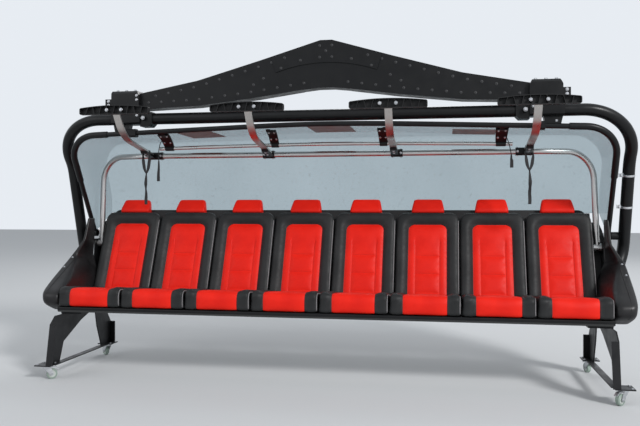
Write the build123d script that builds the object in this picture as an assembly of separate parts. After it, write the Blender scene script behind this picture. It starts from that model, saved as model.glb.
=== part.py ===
from build123d import *
import math
import os

# Eight-seat chairlift chair with a weather bubble, on its display stand.
# Millimetres. +X runs along the bench, the seats face -Y, +Z is up and the floor is Z = 0.
# The origin is on the floor under the middle of the whole chair.

# Place of the bench: every depth below is measured from the cushions' front seam
SEAM_Y = -523.3

# Seats
SEAT_COUNT = 8
SEAT_PITCH = 520.0
SEAT_GAP = 12.0
SEAT_WIDTH = SEAT_PITCH - SEAT_GAP
CUSHION_FLOOR_Z = 543.0
CUSHION_NOSE_Z = 690.0
CUSHION_REAR_Z = 628.0
CUSHION_DEPTH = 552.0
CUSHION_NOSE_RADIUS = 45.0
RECLINE_DEG = 22.6
BACK_SETBACK = 13.0
BACK_START_Y = CUSHION_DEPTH + BACK_SETBACK
BACK_START_Z = 634.0
BACK_HEIGHT = 712.0
BACK_THICKNESS = 90.0
SHOULDER_RADIUS = 70.0
HEADREST_BOTTOM_WIDTH = 265.0
HEADREST_TOP_WIDTH = 225.0
HEADREST_HEIGHT = 118.0
HEADREST_THICKNESS = 76.0
HEADREST_EDGE = 9.0
SOFT_GAP = 0.3

# Places along the bench, each worked out from the one inside it
BENCH_HALF = SEAT_COUNT * SEAT_PITCH / 2
BAR_PIVOT_OUT = 38.0
BAR_PIVOT_X = BENCH_HALF + BAR_PIVOT_OUT
BUBBLE_PIVOT_OUT = 94.0
BUBBLE_PIVOT_X = BAR_PIVOT_X + BUBBLE_PIVOT_OUT
MAIN_TUBE_OUT = 121.0
MAIN_HALF_WIDTH = BUBBLE_PIVOT_X + MAIN_TUBE_OUT
HOUSING_INSET = 673.0
HOUSING_X = MAIN_HALF_WIDTH - HOUSING_INSET

# Shell behind the backs
SHELL_THICKNESS = 26.0
SHELL_OVERHANG = 26.0
SHELL_RIB_DEPTH = 34.0
SHELL_RIB_WIDTH = 46.0

# Bench frame
FRONT_RAIL_INSET = 2.0
FRONT_RAIL_HALF_LENGTH = BENCH_HALF - FRONT_RAIL_INSET
FRONT_RAIL_DEPTH = 46.0
FRONT_RAIL_HEIGHT = 35.0
REAR_RAIL_DIAMETER = 60.0
REAR_RAIL_SETBACK = 75.0
REAR_RAIL_Y = BACK_START_Y + REAR_RAIL_SETBACK
REAR_RAIL_Z = 508.0
RIB_FOOT = 78.0
CROSS_MEMBER_WIDTH = 40.0
PAN_THICKNESS = 12.0

# Main frame tube that loops over the bench
MAIN_TUBE_DIAMETER = 92.0
MAIN_TOP_Y = 412.0
MAIN_TOP_Z = 2057.0
MAIN_KNEE_Y = 708.0
MAIN_KNEE_Z = 1693.0
MAIN_LOW_Y = 905.0
MAIN_LOW_Z = 985.0
MAIN_CORNER_RADIUS = 400.0
MAIN_KNEE_RADIUS = 280.0
MAIN_LOW_RADIUS = 190.0
MAIN_FOOT_OUT = 47.0
MAIN_FOOT_X = BAR_PIVOT_X + MAIN_FOOT_OUT

# Damper housings where the beam sits on the tube
HOUSING_WIDTH = 240.0
HOUSING_DEPTH = 190.0
HOUSING_FLOOR_Z = 2108.0
HOUSING_TOP_Z = 2280.0
HOUSING_CHAMFER = 20.0
HOUSING_END_IN = 19.0
HOUSING_END_DOWN = 40.0
LUG_WIDTH = 54.0
LUG_HEIGHT = 66.0
LUG_THICKNESS = 14.0
SADDLE_WIDTH = 250.0
SADDLE_DEPTH = 136.0
SADDLE_BOTTOM_Z = 2010.0
CATCH_WIDTH = 100.0
CATCH_DEPTH = 112.0
CATCH_BOTTOM_Z = 1990.0
KNOB_DIAMETER = 36.0
KNOB_LENGTH = 26.0
STOP_WIDTH = 140.0
STOP_BOTTOM_Z = 1948.0
STOP_FRONT_Y = 374.0
STOP_TAPER = 14.0

# Hanger beam
BEAM_APEX_Z = 2640.0
BEAM_APEX_HALF_FLAT = 46.0
BEAM_DEPTH = 112.0
BEAM_END_Z = 2126.0
BEAM_INSET = 60.0
BEAM_HALF_LENGTH = HOUSING_X - BEAM_INSET
# Edges of the beam as (share of its half length, share of its rise above the end), from the apex to the end
BEAM_TOP = ((0.325, 0.728), (0.656, 0.44), (1.0, 0.241))
BEAM_BOTTOM = ((0.0375, 0.272), (0.119, 0.245), (0.35, 0.144), (0.656, 0.039), (1.0, 0.0))
BEAM_CHORD_THICKNESS = 8.0
BEAM_CHORD_OVERHANG = 9.0
SOCKET_RADIUS = 30.0
SOCKET_DEPTH = 150.0
DOUBLER_THICKNESS = 8.0
DOUBLER_HALF_LENGTH = 400.0
DOUBLER_INSET = 12.0
# Heights on the doubler as shares of the beam's rise
DOUBLER_END_RISE = 0.525
DOUBLER_ARCH_RISE = 0.656

# Restraint bar
BAR_DIAMETER = 48.0
BAR_PIVOT_Y = 830.0
BAR_PIVOT_Z = 1010.0
BAR_LEG_LEAN = 42.0
BAR_CORNER_X = BAR_PIVOT_X - BAR_LEG_LEAN
BAR_CORNER_Y = 790.0
BAR_CROSS_Y = 668.0
BAR_CROSS_Z = 1770.0
BAR_BEND_REACH = 386.0
BAR_BEND_X = BAR_CORNER_X - BAR_BEND_REACH
BAR_CORNER_RADIUS = 230.0
BAR_BEND_RADIUS = 380.0
PIVOT_PIN_DIAMETER = 24.0
PIVOT_BOSS_DIAMETER = 62.0
RUNNING_GAP = 0.05

# Footrests on the restraint bar
# Footrest's place in seat pitches, then the bar clamp's edges measured outwards from the arm's middle
FOOTRESTS = ((-3, -90.0, 40.0), (-1, -34.0, 62.0), (1, -34.0, 62.0), (3, -90.0, 40.0))
ARM_WIDTH = 55.0
ARM_THICKNESS = 14.0
ARM_RISE = 24.0
ARM_KNEE_Y = 70.0
ARM_KNEE_Z = 1872.0
ARM_KNEE_RADIUS = 330.0
ARM_END_BACK = 44.0
ARM_END_RISE = 7.0
ARM_HEAD_WIDTH = 160.0
ARM_HEAD_HEIGHT = 44.0
ARM_HEAD_THICKNESS = 8.0
PAD_WIDTH = 560.0
PAD_HEIGHT = 70.0
PAD_END_HEIGHT = 51.0
PAD_THICKNESS = 34.0
PAD_CORNER_RADIUS = 14.0
PAD_Y = -78.0
PAD_Z = 2066.0
PAD_FLOOR_DROP = 34.0
PAD_WALL = 5.0
PAD_RIB = 4.0
PAD_RIB_LEAN = 7.0
PAD_CELLS = 10
BAR_CLAMP_HALF = 30.0
BAR_CLAMP_CHAMFER = 10.0
TONGUE_LENGTH = 170.0
TONGUE_THICKNESS = 18.0

# Bubble
BUBBLE_TUBE_DIAMETER = 40.0
BUBBLE_ELBOW_DIAMETER = 52.0
BUBBLE_ELBOW_LENGTH = 385.0
BUBBLE_ELBOW_X = BUBBLE_PIVOT_X - BUBBLE_ELBOW_LENGTH
BUBBLE_ELBOW_REACH = 430.0
BUBBLE_STOP_WIDTH = 84.0
BUBBLE_STOP_SIZE = 66.0
BUBBLE_PIVOT_Y = 890.0
BUBBLE_PIVOT_Z = 1100.0
BUBBLE_SIDE_LEAN = 32.0
BUBBLE_CORNER_X = BUBBLE_PIVOT_X - BUBBLE_SIDE_LEAN
BUBBLE_CORNER_Y = 352.0
BUBBLE_CORNER_Z = 1916.0
BUBBLE_MIDDLE_Y = 312.0
BUBBLE_MIDDLE_Z = 1986.0
BUBBLE_BOW_RADIUS = 15000.0
BUBBLE_CORNER_RADIUS = 250.0
SHEET_THICKNESS = 5.0
HANDLE_BAR_DIAMETER = 30.0
HANDLE_BAR_INSET = 647.0
HANDLE_BAR_HALF_LENGTH = BENCH_HALF - HANDLE_BAR_INSET
HANDLE_BAR_Y = 503.0
HANDLE_BAR_MIDDLE_Z = 1845.0
HANDLE_BAR_END_Z = 1818.0
HANDLE_BAR_BOW_RADIUS = 40000.0
HANDLE_BRACKET_INSET = 88.0
HANDLE_BRACKET_OFFSET = 58.0
HANDLE_BRACKET_XS = (HANDLE_BAR_HALF_LENGTH - HANDLE_BRACKET_INSET, SEAT_PITCH - HANDLE_BRACKET_OFFSET)
HANDLE_BRACKET_WIDTH = 34.0
HANDLE_BRACKET_THICKNESS = 10.0
BUBBLE_BOSS_DIAMETER = 64.0
BUBBLE_BOSS_WIDTH = 44.0
BUBBLE_PIN_DIAMETER = 26.0
SHEET_BEND_RADIUS = 240.0
SHEET_RISE = 4.0
BOWL_ROOF_Y = 985.0
BOWL_BACK_Y = 1222.0
BOWL_BACK_Z = 1440.0
BOWL_BACK_HEIGHT = 150.0

# Side panels: height, front radius, then (x outside the bench, depth) of the inner rear, inner front,
# outer front and outer rear corners. Front depths start at the seam, rear depths at the rear rail.
PANEL_SECTIONS = (
    (500, 40, (0.3, -50), (0.3, 150), (125, 150), (125, -50)),
    (560, 44, (0.3, -40), (0.3, 14), (154, 24), (158, -40)),
    (650, 40, (0.3, 0), (0.3, 24), (160, 36), (166, 10)),
    (740, 34, (0.3, 60), (30, 250), (172, 210), (170, 65)),
    (903, 14, (81.3, 112), (146, 556), (186, 544), (156, 120)),
    (1040, 9, (81.3, 135), (78, 606), (102, 600), (102, 140)),
    (1236, 8, (72, 125), (72, 675), (92, 672), (92, 125)))

# Stand
LEG_INSET = 12.0
LEG_X = BENCH_HALF - LEG_INSET
LEG_THICKNESS = 10.0
LEG_FLANGE = 42.0
FOOT_PLATE_THICKNESS = 8.0
FOOT_PLATE_SIZE = 130.0
CASTOR_HEIGHT = 108.0
KINGPIN_DIAMETER = 12.0
FRONT_CASTOR_OUT = 25.0
FRONT_CASTOR_X = BENCH_HALF + FRONT_CASTOR_OUT
FRONT_CASTOR_Y = -110.0
REAR_CASTOR_INSET = 15.0
REAR_CASTOR_X = BENCH_HALF - REAR_CASTOR_INSET
REAR_CASTOR_Y = 835.0
# Side views of the two legs as (depth, height), the flanged edge first
FRONT_LEG = ((-170, 112), (-110, 420), (-40, 478), (520, 482), (520, 440), (360, 390), (80, 260), (20, 112))
REAR_LEG = ((900, 112), (900, 300), (760, 482), (600, 482), (640, 300), (720, 112))

# Castors
CASTOR_WHEEL_DIAMETER = 80.0
CASTOR_WHEEL_WIDTH = 32.0
CASTOR_TRAIL = 40.0
CASTOR_AXLE_DIAMETER = 10.0
FORK_GAP = 3.0
FORK_WALL = 4.0
SWIVEL_DIAMETER = 62.0
CASTOR_HUB_DIAMETER = 24.0
CASTOR_TREAD_THICKNESS = 12.0
CASTOR_HUB_RECESS = 4.0
PEDAL_WIDTH = 26.0
# Castor name, x, depth and the way it trails, in degrees from +X
CASTORS = (
    ("front_left", -FRONT_CASTOR_X, FRONT_CASTOR_Y, 35.0),
    ("front_right", FRONT_CASTOR_X, FRONT_CASTOR_Y, 225.0),
    ("rear_left", -REAR_CASTOR_X, REAR_CASTOR_Y, 140.0),
    ("rear_right", REAR_CASTOR_X, REAR_CASTOR_Y, 108.0))

recline = math.radians(RECLINE_DEG)


def depth(y):
    """Turn a depth behind the cushions' front seam into a Y of the part."""
    return SEAM_Y + y


def seat_xs():
    """Middle of each seat, from the left to the right."""
    first = -0.5 * (SEAT_COUNT - 1) * SEAT_PITCH
    return [first + i * SEAT_PITCH for i in range(SEAT_COUNT)]


def side_face(points):
    """Face in the YZ plane from (depth, height) points, in order."""
    wire = Polyline(*[(0, depth(y), z) for y, z in points], close=True)
    return make_face(wire)


def round_bar(points, radii, diameter):
    """Round tube along straight runs joined by arcs. Points are (x, depth, height)."""
    path = FilletPolyline(*[(x, depth(y), z) for x, y, z in points], radius=radii)
    profile = Plane(origin=path @ 0, z_dir=path % 0) * Circle(diameter / 2)
    return sweep(profile, path=path)


def rod_x(x0, x1, y, z, diameter):
    """Round rod along X between two places."""
    plane = Plane(origin=(x0, depth(y), z), z_dir=(1, 0, 0))
    return extrude(plane * Circle(diameter / 2), x1 - x0)


def block(x0, x1, y0, y1, z0, z1):
    """Plain block between low and high places, with Y as depths."""
    size = (x1 - x0, y1 - y0, z1 - z0)
    centre = Pos((x0 + x1) / 2, depth((y0 + y1) / 2), (z0 + z1) / 2)
    return centre * Box(*size)


def mirrored(shape):
    return mirror(shape, about=Plane.YZ)


def back_plane(x, along, out):
    """Plane on the seat back: local x along the bench, local y up the back, normal to the front."""
    y = BACK_START_Y + along * math.sin(recline) - out * math.cos(recline)
    z = BACK_START_Z + along * math.cos(recline) + out * math.sin(recline)
    return Plane(origin=(x, depth(y), z), x_dir=(1, 0, 0), z_dir=(0, -math.cos(recline), math.sin(recline)))


parts = {}

# Seat cushions
cushion_outline = [
    (4, CUSHION_FLOOR_Z), (CUSHION_DEPTH, CUSHION_FLOOR_Z),
    (CUSHION_DEPTH, CUSHION_REAR_Z), (60, CUSHION_NOSE_Z), (10, CUSHION_NOSE_Z - 30)]


def seat_cushion():
    solid = extrude(side_face(cushion_outline), SEAT_WIDTH / 2, dir=(1, 0, 0), both=True)
    nose = solid.edges().filter_by(Axis.X).group_by(Axis.Z)[-1]
    return fillet(nose, CUSHION_NOSE_RADIUS / 2)


# Seat backs
def seat_back():
    plane = back_plane(0, BACK_HEIGHT / 2, -BACK_THICKNESS)
    solid = extrude(plane * Rectangle(SEAT_WIDTH, BACK_HEIGHT), BACK_THICKNESS)
    crown = solid.edges().filter_by(Axis((0, 0, 0), tuple(plane.z_dir))).group_by(Axis.Z)[-1]
    return fillet(crown, SHOULDER_RADIUS)


def headrest():
    plane = back_plane(0, BACK_HEIGHT + SOFT_GAP, -BACK_THICKNESS + 4)
    outline = Polyline(
        (-HEADREST_BOTTOM_WIDTH / 2, 0), (HEADREST_BOTTOM_WIDTH / 2, 0),
        (HEADREST_TOP_WIDTH / 2, HEADREST_HEIGHT), (-HEADREST_TOP_WIDTH / 2, HEADREST_HEIGHT), close=True)
    solid = extrude(plane * make_face(outline), HEADREST_THICKNESS)
    return chamfer(solid.edges(), HEADREST_EDGE)


one_cushion = seat_cushion()
one_back = seat_back()
one_headrest = headrest()
for number, x in enumerate(seat_xs(), start=1):
    parts[f"seat_cushion_{number}"] = Pos(x, 0, 0) * one_cushion
    parts[f"seat_back_{number}"] = Pos(x, 0, 0) * one_back
parts["headrests"] = Compound([Pos(x, 0, 0) * one_headrest for x in seat_xs()])

# Shell behind all the backs, with a rib behind each joint between two seats
shell_height = BACK_HEIGHT + SHELL_OVERHANG
shell_out = -(BACK_THICKNESS + SOFT_GAP + SHELL_THICKNESS)
plane = back_plane(0, shell_height / 2, shell_out)
shell = extrude(plane * Rectangle(2 * BENCH_HALF, shell_height), SHELL_THICKNESS)
rib_height = shell_height - 30 + RIB_FOOT
rib_plane = back_plane(0, rib_height / 2 - RIB_FOOT, shell_out - SHELL_RIB_DEPTH)
ribs = Sketch() + GridLocations(SEAT_PITCH, 1, SEAT_COUNT - 1, 1) * Rectangle(SHELL_RIB_WIDTH, rib_height)
shell += extrude(rib_plane * ribs, SHELL_RIB_DEPTH)

# Bench frame
rail_top = CUSHION_FLOOR_Z - SOFT_GAP
front_rail = block(-FRONT_RAIL_HALF_LENGTH, FRONT_RAIL_HALF_LENGTH, 4, 4 + FRONT_RAIL_DEPTH,
                   rail_top - FRONT_RAIL_HEIGHT, rail_top)
parts["seat_front_rail"] = fillet(front_rail.edges().filter_by(Axis.X), 8)
bracket_x = BAR_PIVOT_X + PIVOT_BOSS_DIAMETER / 2 + 4
rear_rail = rod_x(-bracket_x, bracket_x, REAR_RAIL_Y, REAR_RAIL_Z, REAR_RAIL_DIAMETER)
parts["seat_rear_rail"] = rear_rail
parts["back_shell"] = shell - rear_rail
member_start = 4 + FRONT_RAIL_DEPTH
member_end = REAR_RAIL_Y - REAR_RAIL_DIAMETER / 2 + 4
pan = block(-BENCH_HALF, BENCH_HALF, member_start, CUSHION_DEPTH + 20, rail_top - PAN_THICKNESS, rail_top)
members = pan
for i in range(SEAT_COUNT + 1):
    x = -BENCH_HALF + CROSS_MEMBER_WIDTH / 2 + i * (2 * BENCH_HALF - CROSS_MEMBER_WIDTH) / SEAT_COUNT
    members += block(x - CROSS_MEMBER_WIDTH / 2, x + CROSS_MEMBER_WIDTH / 2, member_start, member_end,
                     rail_top - FRONT_RAIL_HEIGHT, rail_top - PAN_THICKNESS)
parts["seat_pan"] = members - rear_rail

# Main frame tube: a top run and two sides that meet it in the housings
tube_split = HOUSING_X
parts["main_frame_top"] = rod_x(-tube_split, tube_split, MAIN_TOP_Y, MAIN_TOP_Z, MAIN_TUBE_DIAMETER)
side_points = [
    (tube_split, MAIN_TOP_Y, MAIN_TOP_Z),
    (MAIN_HALF_WIDTH, MAIN_TOP_Y, MAIN_TOP_Z),
    (MAIN_HALF_WIDTH, MAIN_KNEE_Y, MAIN_KNEE_Z),
    (MAIN_HALF_WIDTH, MAIN_LOW_Y, MAIN_LOW_Z),
    (MAIN_FOOT_X, REAR_RAIL_Y + 100, REAR_RAIL_Z + 20)]
side_radii = [MAIN_CORNER_RADIUS, MAIN_KNEE_RADIUS, MAIN_LOW_RADIUS]
main_side = round_bar(side_points, side_radii, MAIN_TUBE_DIAMETER)
parts["main_frame_right"] = main_side
parts["main_frame_left"] = mirrored(main_side)

# Side brackets that carry the restraint bar's pivots and tie the tube to the bench
bracket_reach = BAR_PIVOT_Y - REAR_RAIL_Y
bracket_rise = BAR_PIVOT_Z - REAR_RAIL_Z
bracket_outline = [
    (REAR_RAIL_Y - 32, REAR_RAIL_Z - 30), (REAR_RAIL_Y + 130, REAR_RAIL_Z - 30),
    (BAR_PIVOT_Y + 60, BAR_PIVOT_Z - 90), (BAR_PIVOT_Y + 50, BAR_PIVOT_Z + 40),
    (BAR_PIVOT_Y - 60, BAR_PIVOT_Z + 40), (BAR_PIVOT_Y - 70, BAR_PIVOT_Z - 85),
    (REAR_RAIL_Y + 0.44 * bracket_reach, REAR_RAIL_Z + 0.47 * bracket_rise),
    (REAR_RAIL_Y + 0.05 * bracket_reach, REAR_RAIL_Z + 0.18 * bracket_rise)]
bracket = Pos(bracket_x, 0, 0) * extrude(side_face(bracket_outline), 8, dir=(1, 0, 0))
bracket -= main_side
bracket += rod_x(bracket_x - PIVOT_BOSS_DIAMETER - 4, bracket_x, BAR_PIVOT_Y, BAR_PIVOT_Z, PIVOT_PIN_DIAMETER)
parts["side_bracket_right"] = bracket
parts["side_bracket_left"] = mirrored(bracket)

# Damper housings: box, outboard lug, saddle over the tube, catch with its knob and rubber stop
def housing(sloped_end):
    """Right housing. A sloped end takes the box's outboard corner off as well as its inboard one."""
    x0 = HOUSING_X - HOUSING_WIDTH / 2
    x1 = HOUSING_X + HOUSING_WIDTH / 2
    front = MAIN_TOP_Y - HOUSING_DEPTH / 2
    rear = MAIN_TOP_Y + HOUSING_DEPTH / 2
    outer_in = HOUSING_END_IN if sloped_end else 2.0
    outline = [
        (x0, HOUSING_FLOOR_Z), (x1, HOUSING_FLOOR_Z), (x1, HOUSING_TOP_Z - HOUSING_END_DOWN),
        (x1 - outer_in, HOUSING_TOP_Z), (x0 + HOUSING_END_IN, HOUSING_TOP_Z),
        (x0, HOUSING_TOP_Z - HOUSING_END_DOWN)]
    face = make_face(Polyline(*[(x, depth(front), z) for x, z in outline], close=True))
    body = extrude(face, HOUSING_DEPTH, dir=(0, 1, 0))
    body = chamfer(body.edges().filter_by(Axis.X).group_by(Axis.Z)[-1], HOUSING_CHAMFER)
    lug_top = HOUSING_TOP_Z - 66
    body += block(x1, x1 + LUG_WIDTH, front + 6, front + 6 + LUG_THICKNESS, lug_top - LUG_HEIGHT, lug_top)
    saddle_x1 = x1 + 15
    saddle_x0 = saddle_x1 - SADDLE_WIDTH
    saddle_front = MAIN_TOP_Y - SADDLE_DEPTH / 2
    saddle = block(saddle_x0, saddle_x1, saddle_front, saddle_front + SADDLE_DEPTH, SADDLE_BOTTOM_Z, HOUSING_FLOOR_Z)
    body += chamfer(saddle.edges().filter_by(Axis.X).group_by(Axis.Z)[0], 14)
    catch_front = MAIN_TOP_Y - CATCH_DEPTH / 2
    catch = block(saddle_x0 - CATCH_WIDTH, saddle_x0, catch_front, catch_front + CATCH_DEPTH,
                  CATCH_BOTTOM_Z, HOUSING_FLOOR_Z)
    low_corner = catch.edges().filter_by(Axis.Y).group_by(Axis.Z)[0].sort_by(Axis.X)[0]
    body += chamfer(low_corner, 24)
    stop_x = saddle_x1 - STOP_WIDTH / 2 - 8
    stop_outline = [
        (stop_x - STOP_WIDTH / 2, SADDLE_BOTTOM_Z), (stop_x + STOP_WIDTH / 2, SADDLE_BOTTOM_Z),
        (stop_x + STOP_WIDTH / 2 - STOP_TAPER, STOP_BOTTOM_Z), (stop_x - STOP_WIDTH / 2 + STOP_TAPER, STOP_BOTTOM_Z)]
    stop_face = make_face(Polyline(*[(x, depth(STOP_FRONT_Y), z) for x, z in stop_outline], close=True))
    body += extrude(stop_face, MAIN_TOP_Y + 30 - STOP_FRONT_Y, dir=(0, 1, 0))
    knob_plane = Plane(origin=(saddle_x0 - CATCH_WIDTH / 3, depth(catch_front), MAIN_TOP_Z), z_dir=(0, -1, 0))
    body += extrude(knob_plane * Circle(KNOB_DIAMETER / 2), KNOB_LENGTH)
    body -= rod_x(saddle_x0 - CATCH_WIDTH - 10, saddle_x1 + 10, MAIN_TOP_Y, MAIN_TOP_Z, MAIN_TUBE_DIAMETER)
    return body


# Hanger beam: web box, lower chord and a doubler with an arched edge on each face of the apex
beam_rise = BEAM_APEX_Z - BEAM_END_Z
beam_top = [(share * BEAM_HALF_LENGTH, BEAM_END_Z + rise * beam_rise) for share, rise in BEAM_TOP]
beam_bottom = [(share * BEAM_HALF_LENGTH, BEAM_END_Z + rise * beam_rise) for share, rise in BEAM_BOTTOM]
half_outline = [(BEAM_APEX_HALF_FLAT, BEAM_APEX_Z)] + beam_top + beam_bottom[::-1]


def beam_plate(half_points, thickness):
    """Plate symmetrical about X = 0 from the (x, z) points of its right half, centred on the beam."""
    points = half_points + [(-x, z) for x, z in reversed(half_points)]
    face = make_face(Polyline(*[(x, depth(MAIN_TOP_Y), z) for x, z in points], close=True))
    return extrude(face, thickness / 2, dir=(0, 1, 0), both=True)


beam = beam_plate(half_outline, BEAM_DEPTH)
chord_points = beam_bottom[1:]
chord_outline = chord_points + [(x, z + BEAM_CHORD_THICKNESS) for x, z in reversed(chord_points)]
chord_face = make_face(Polyline(*[(x, depth(MAIN_TOP_Y), z) for x, z in chord_outline], close=True))
chord = extrude(chord_face, BEAM_DEPTH / 2 + BEAM_CHORD_OVERHANG, dir=(0, 1, 0), both=True)
beam += chord
beam += mirrored(chord)
doubler_end = (DOUBLER_HALF_LENGTH, BEAM_END_Z + DOUBLER_END_RISE * beam_rise)
doubler_arch_z = BEAM_END_Z + DOUBLER_ARCH_RISE * beam_rise
slope = (BEAM_APEX_Z - beam_top[0][1]) / (beam_top[0][0] - BEAM_APEX_HALF_FLAT)
doubler_tip = (DOUBLER_HALF_LENGTH + 40,
               BEAM_APEX_Z - DOUBLER_INSET - slope * (DOUBLER_HALF_LENGTH + 40 - BEAM_APEX_HALF_FLAT))
apex_flat = (BEAM_APEX_HALF_FLAT, BEAM_APEX_Z - DOUBLER_INSET)
doubler_y = depth(MAIN_TOP_Y)
rim = Polyline(*[(x, doubler_y, z) for x, z in (
    doubler_end, doubler_tip, apex_flat, (-apex_flat[0], apex_flat[1]), (-doubler_tip[0], doubler_tip[1]),
    (-doubler_end[0], doubler_end[1]))])
arch = ThreePointArc((-doubler_end[0], doubler_y, doubler_end[1]), (0, doubler_y, doubler_arch_z),
                     (doubler_end[0], doubler_y, doubler_end[1]))
doubler_face = make_face([rim, arch])
beam += extrude(doubler_face, BEAM_DEPTH / 2 + DOUBLER_THICKNESS, dir=(0, 1, 0), both=True)
socket = Pos(0, depth(MAIN_TOP_Y), BEAM_APEX_Z - SOCKET_DEPTH) * extrude(Circle(SOCKET_RADIUS), SOCKET_DEPTH)
beam -= socket
parts["hanger_beam"] = beam
parts["damper_housing_right"] = housing(True) - beam
parts["damper_housing_left"] = mirrored(housing(False) - beam)

# Restraint bar with its boss at each pivot
half_bar = [
    (BAR_PIVOT_X, BAR_PIVOT_Y, BAR_PIVOT_Z), (BAR_CORNER_X, BAR_CORNER_Y, BAR_CROSS_Z),
    (BAR_BEND_X, BAR_CROSS_Y, BAR_CROSS_Z)]
bar_points = half_bar + [(-x, y, z) for x, y, z in reversed(half_bar)]
bar_radii = [BAR_CORNER_RADIUS, BAR_BEND_RADIUS, BAR_BEND_RADIUS, BAR_CORNER_RADIUS]
bar = round_bar(bar_points, bar_radii, BAR_DIAMETER)
half_boss = PIVOT_BOSS_DIAMETER / 2
for side in (-1, 1):
    bar += rod_x(side * BAR_PIVOT_X - half_boss, side * BAR_PIVOT_X + half_boss,
                 BAR_PIVOT_Y, BAR_PIVOT_Z, PIVOT_BOSS_DIAMETER)
    bar -= rod_x(side * BAR_PIVOT_X - half_boss - 1, side * BAR_PIVOT_X + half_boss + 1,
                 BAR_PIVOT_Y, BAR_PIVOT_Z, PIVOT_PIN_DIAMETER + 2 * RUNNING_GAP)
parts["restraint_bar"] = bar

# Footrests: a clamp with a tongue on the bar, a curved flat arm on the tongue and a ribbed pad on the arm's head
arm_end_y = BAR_CROSS_Y - ARM_END_BACK
arm_end_z = BAR_CROSS_Z + ARM_END_RISE
arm_slope = (arm_end_z - ARM_KNEE_Z) / (arm_end_y - ARM_KNEE_Y)


def under_arm(y):
    """Height of the arm's underside over the tongue, at a depth."""
    return ARM_KNEE_Z + arm_slope * (y - ARM_KNEE_Y) - ARM_THICKNESS / 2 * math.hypot(1, arm_slope)


def footrest_arm():
    route = ((PAD_Y, PAD_Z + ARM_RISE), (ARM_KNEE_Y, ARM_KNEE_Z), (arm_end_y, arm_end_z))
    path = FilletPolyline(*[(0, depth(y), z) for y, z in route], radius=ARM_KNEE_RADIUS)
    profile = Plane(origin=path @ 0, x_dir=(1, 0, 0), z_dir=path % 0) * Rectangle(ARM_WIDTH, ARM_THICKNESS)
    arm = sweep(profile, path=path)
    tip = [e for e in arm.edges() if abs(e.length - ARM_THICKNESS) < 0.1 and e.center().Y > depth(arm_end_y - 5)]
    arm = fillet(tip, ARM_WIDTH / 2 - 2)
    pad_back = PAD_Y + PAD_THICKNESS / 2
    arm -= block(-ARM_WIDTH, ARM_WIDTH, PAD_Y - PAD_THICKNESS, pad_back, PAD_Z - PAD_HEIGHT, PAD_Z + PAD_HEIGHT)
    return arm + block(-ARM_HEAD_WIDTH / 2, ARM_HEAD_WIDTH / 2, pad_back, pad_back + ARM_HEAD_THICKNESS,
                       PAD_Z - ARM_HEAD_HEIGHT / 2, PAD_Z + ARM_HEAD_HEIGHT / 2)


def bar_clamp(inner, outer):
    """Clamp on the bar, between two places measured outwards from the arm's middle, with its tongue."""
    half = BAR_CLAMP_HALF
    clamp = block(inner, outer, BAR_CROSS_Y - half, BAR_CROSS_Y + half, BAR_CROSS_Z - half, BAR_CROSS_Z + half)
    clamp = chamfer(clamp.edges().filter_by(Axis.X), BAR_CLAMP_CHAMFER)
    front = arm_end_y - TONGUE_LENGTH
    root = BAR_CROSS_Y - half + BAR_CLAMP_CHAMFER
    tongue = side_face([
        (front, under_arm(front)), (root, under_arm(root)), (root, under_arm(root) - TONGUE_THICKNESS),
        (front + 14, under_arm(front + 14) - TONGUE_THICKNESS)])
    clamp += extrude(tongue, ARM_WIDTH / 2, dir=(1, 0, 0), both=True)
    return clamp - rod_x(inner - 1, outer + 1, BAR_CROSS_Y, BAR_CROSS_Z, BAR_DIAMETER)


def pad_top(x):
    """Height of the pad's crowned top edge above its floor."""
    share = 2 * x / PAD_WIDTH
    return PAD_HEIGHT - (PAD_HEIGHT - PAD_END_HEIGHT) * share * share


def footrest_pad():
    half = PAD_WIDTH / 2
    front = Plane(origin=(0, depth(PAD_Y - PAD_THICKNESS / 2), PAD_Z - PAD_FLOOR_DROP),
                  x_dir=(1, 0, 0), z_dir=(0, -1, 0))
    rim = Polyline((-half, PAD_END_HEIGHT), (-half, 0), (half, 0), (half, PAD_END_HEIGHT))
    crown = ThreePointArc((half, PAD_END_HEIGHT), (0, PAD_HEIGHT), (-half, PAD_END_HEIGHT))
    pad = extrude(front * make_face([rim, crown]), -PAD_THICKNESS)
    pad = fillet(pad.edges().filter_by(Axis.Y), PAD_CORNER_RADIUS)
    pitch = (PAD_WIDTH - 2 * PAD_WALL) / PAD_CELLS
    cells = Sketch()
    for i in range(PAD_CELLS):
        lean = PAD_RIB_LEAN if i % 2 else -PAD_RIB_LEAN
        x0 = -half + PAD_WALL + i * pitch + PAD_RIB / 2
        x1 = x0 + pitch - PAD_RIB
        low, high = (0 if i == 0 else lean), (0 if i == PAD_CELLS - 1 else -lean)
        cells += make_face(Polyline(
            (x0 - low, PAD_WALL), (x1 - high, PAD_WALL), (x1 + high, pad_top(x1) - PAD_WALL),
            (x0 + low, pad_top(x0) - PAD_WALL), close=True))
    return pad - extrude(front * cells, -(PAD_THICKNESS - PAD_WALL))


one_arm = footrest_arm()
one_pad = footrest_pad()
arms, pads, clamps = [], [], []
for pitches, inner, outer in FOOTRESTS:
    x = pitches * SEAT_PITCH
    arms.append(Pos(x, 0, 0) * one_arm)
    pads.append(Pos(x, 0, 0) * one_pad)
    clamp = Pos(abs(x), 0, 0) * bar_clamp(inner, outer)
    clamps.append(clamp if x > 0 else mirrored(clamp))
parts["footrest_arms"] = Compound(arms)
parts["footrest_pads"] = Compound(pads)
parts["bar_clamps"] = Compound(clamps)

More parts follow.
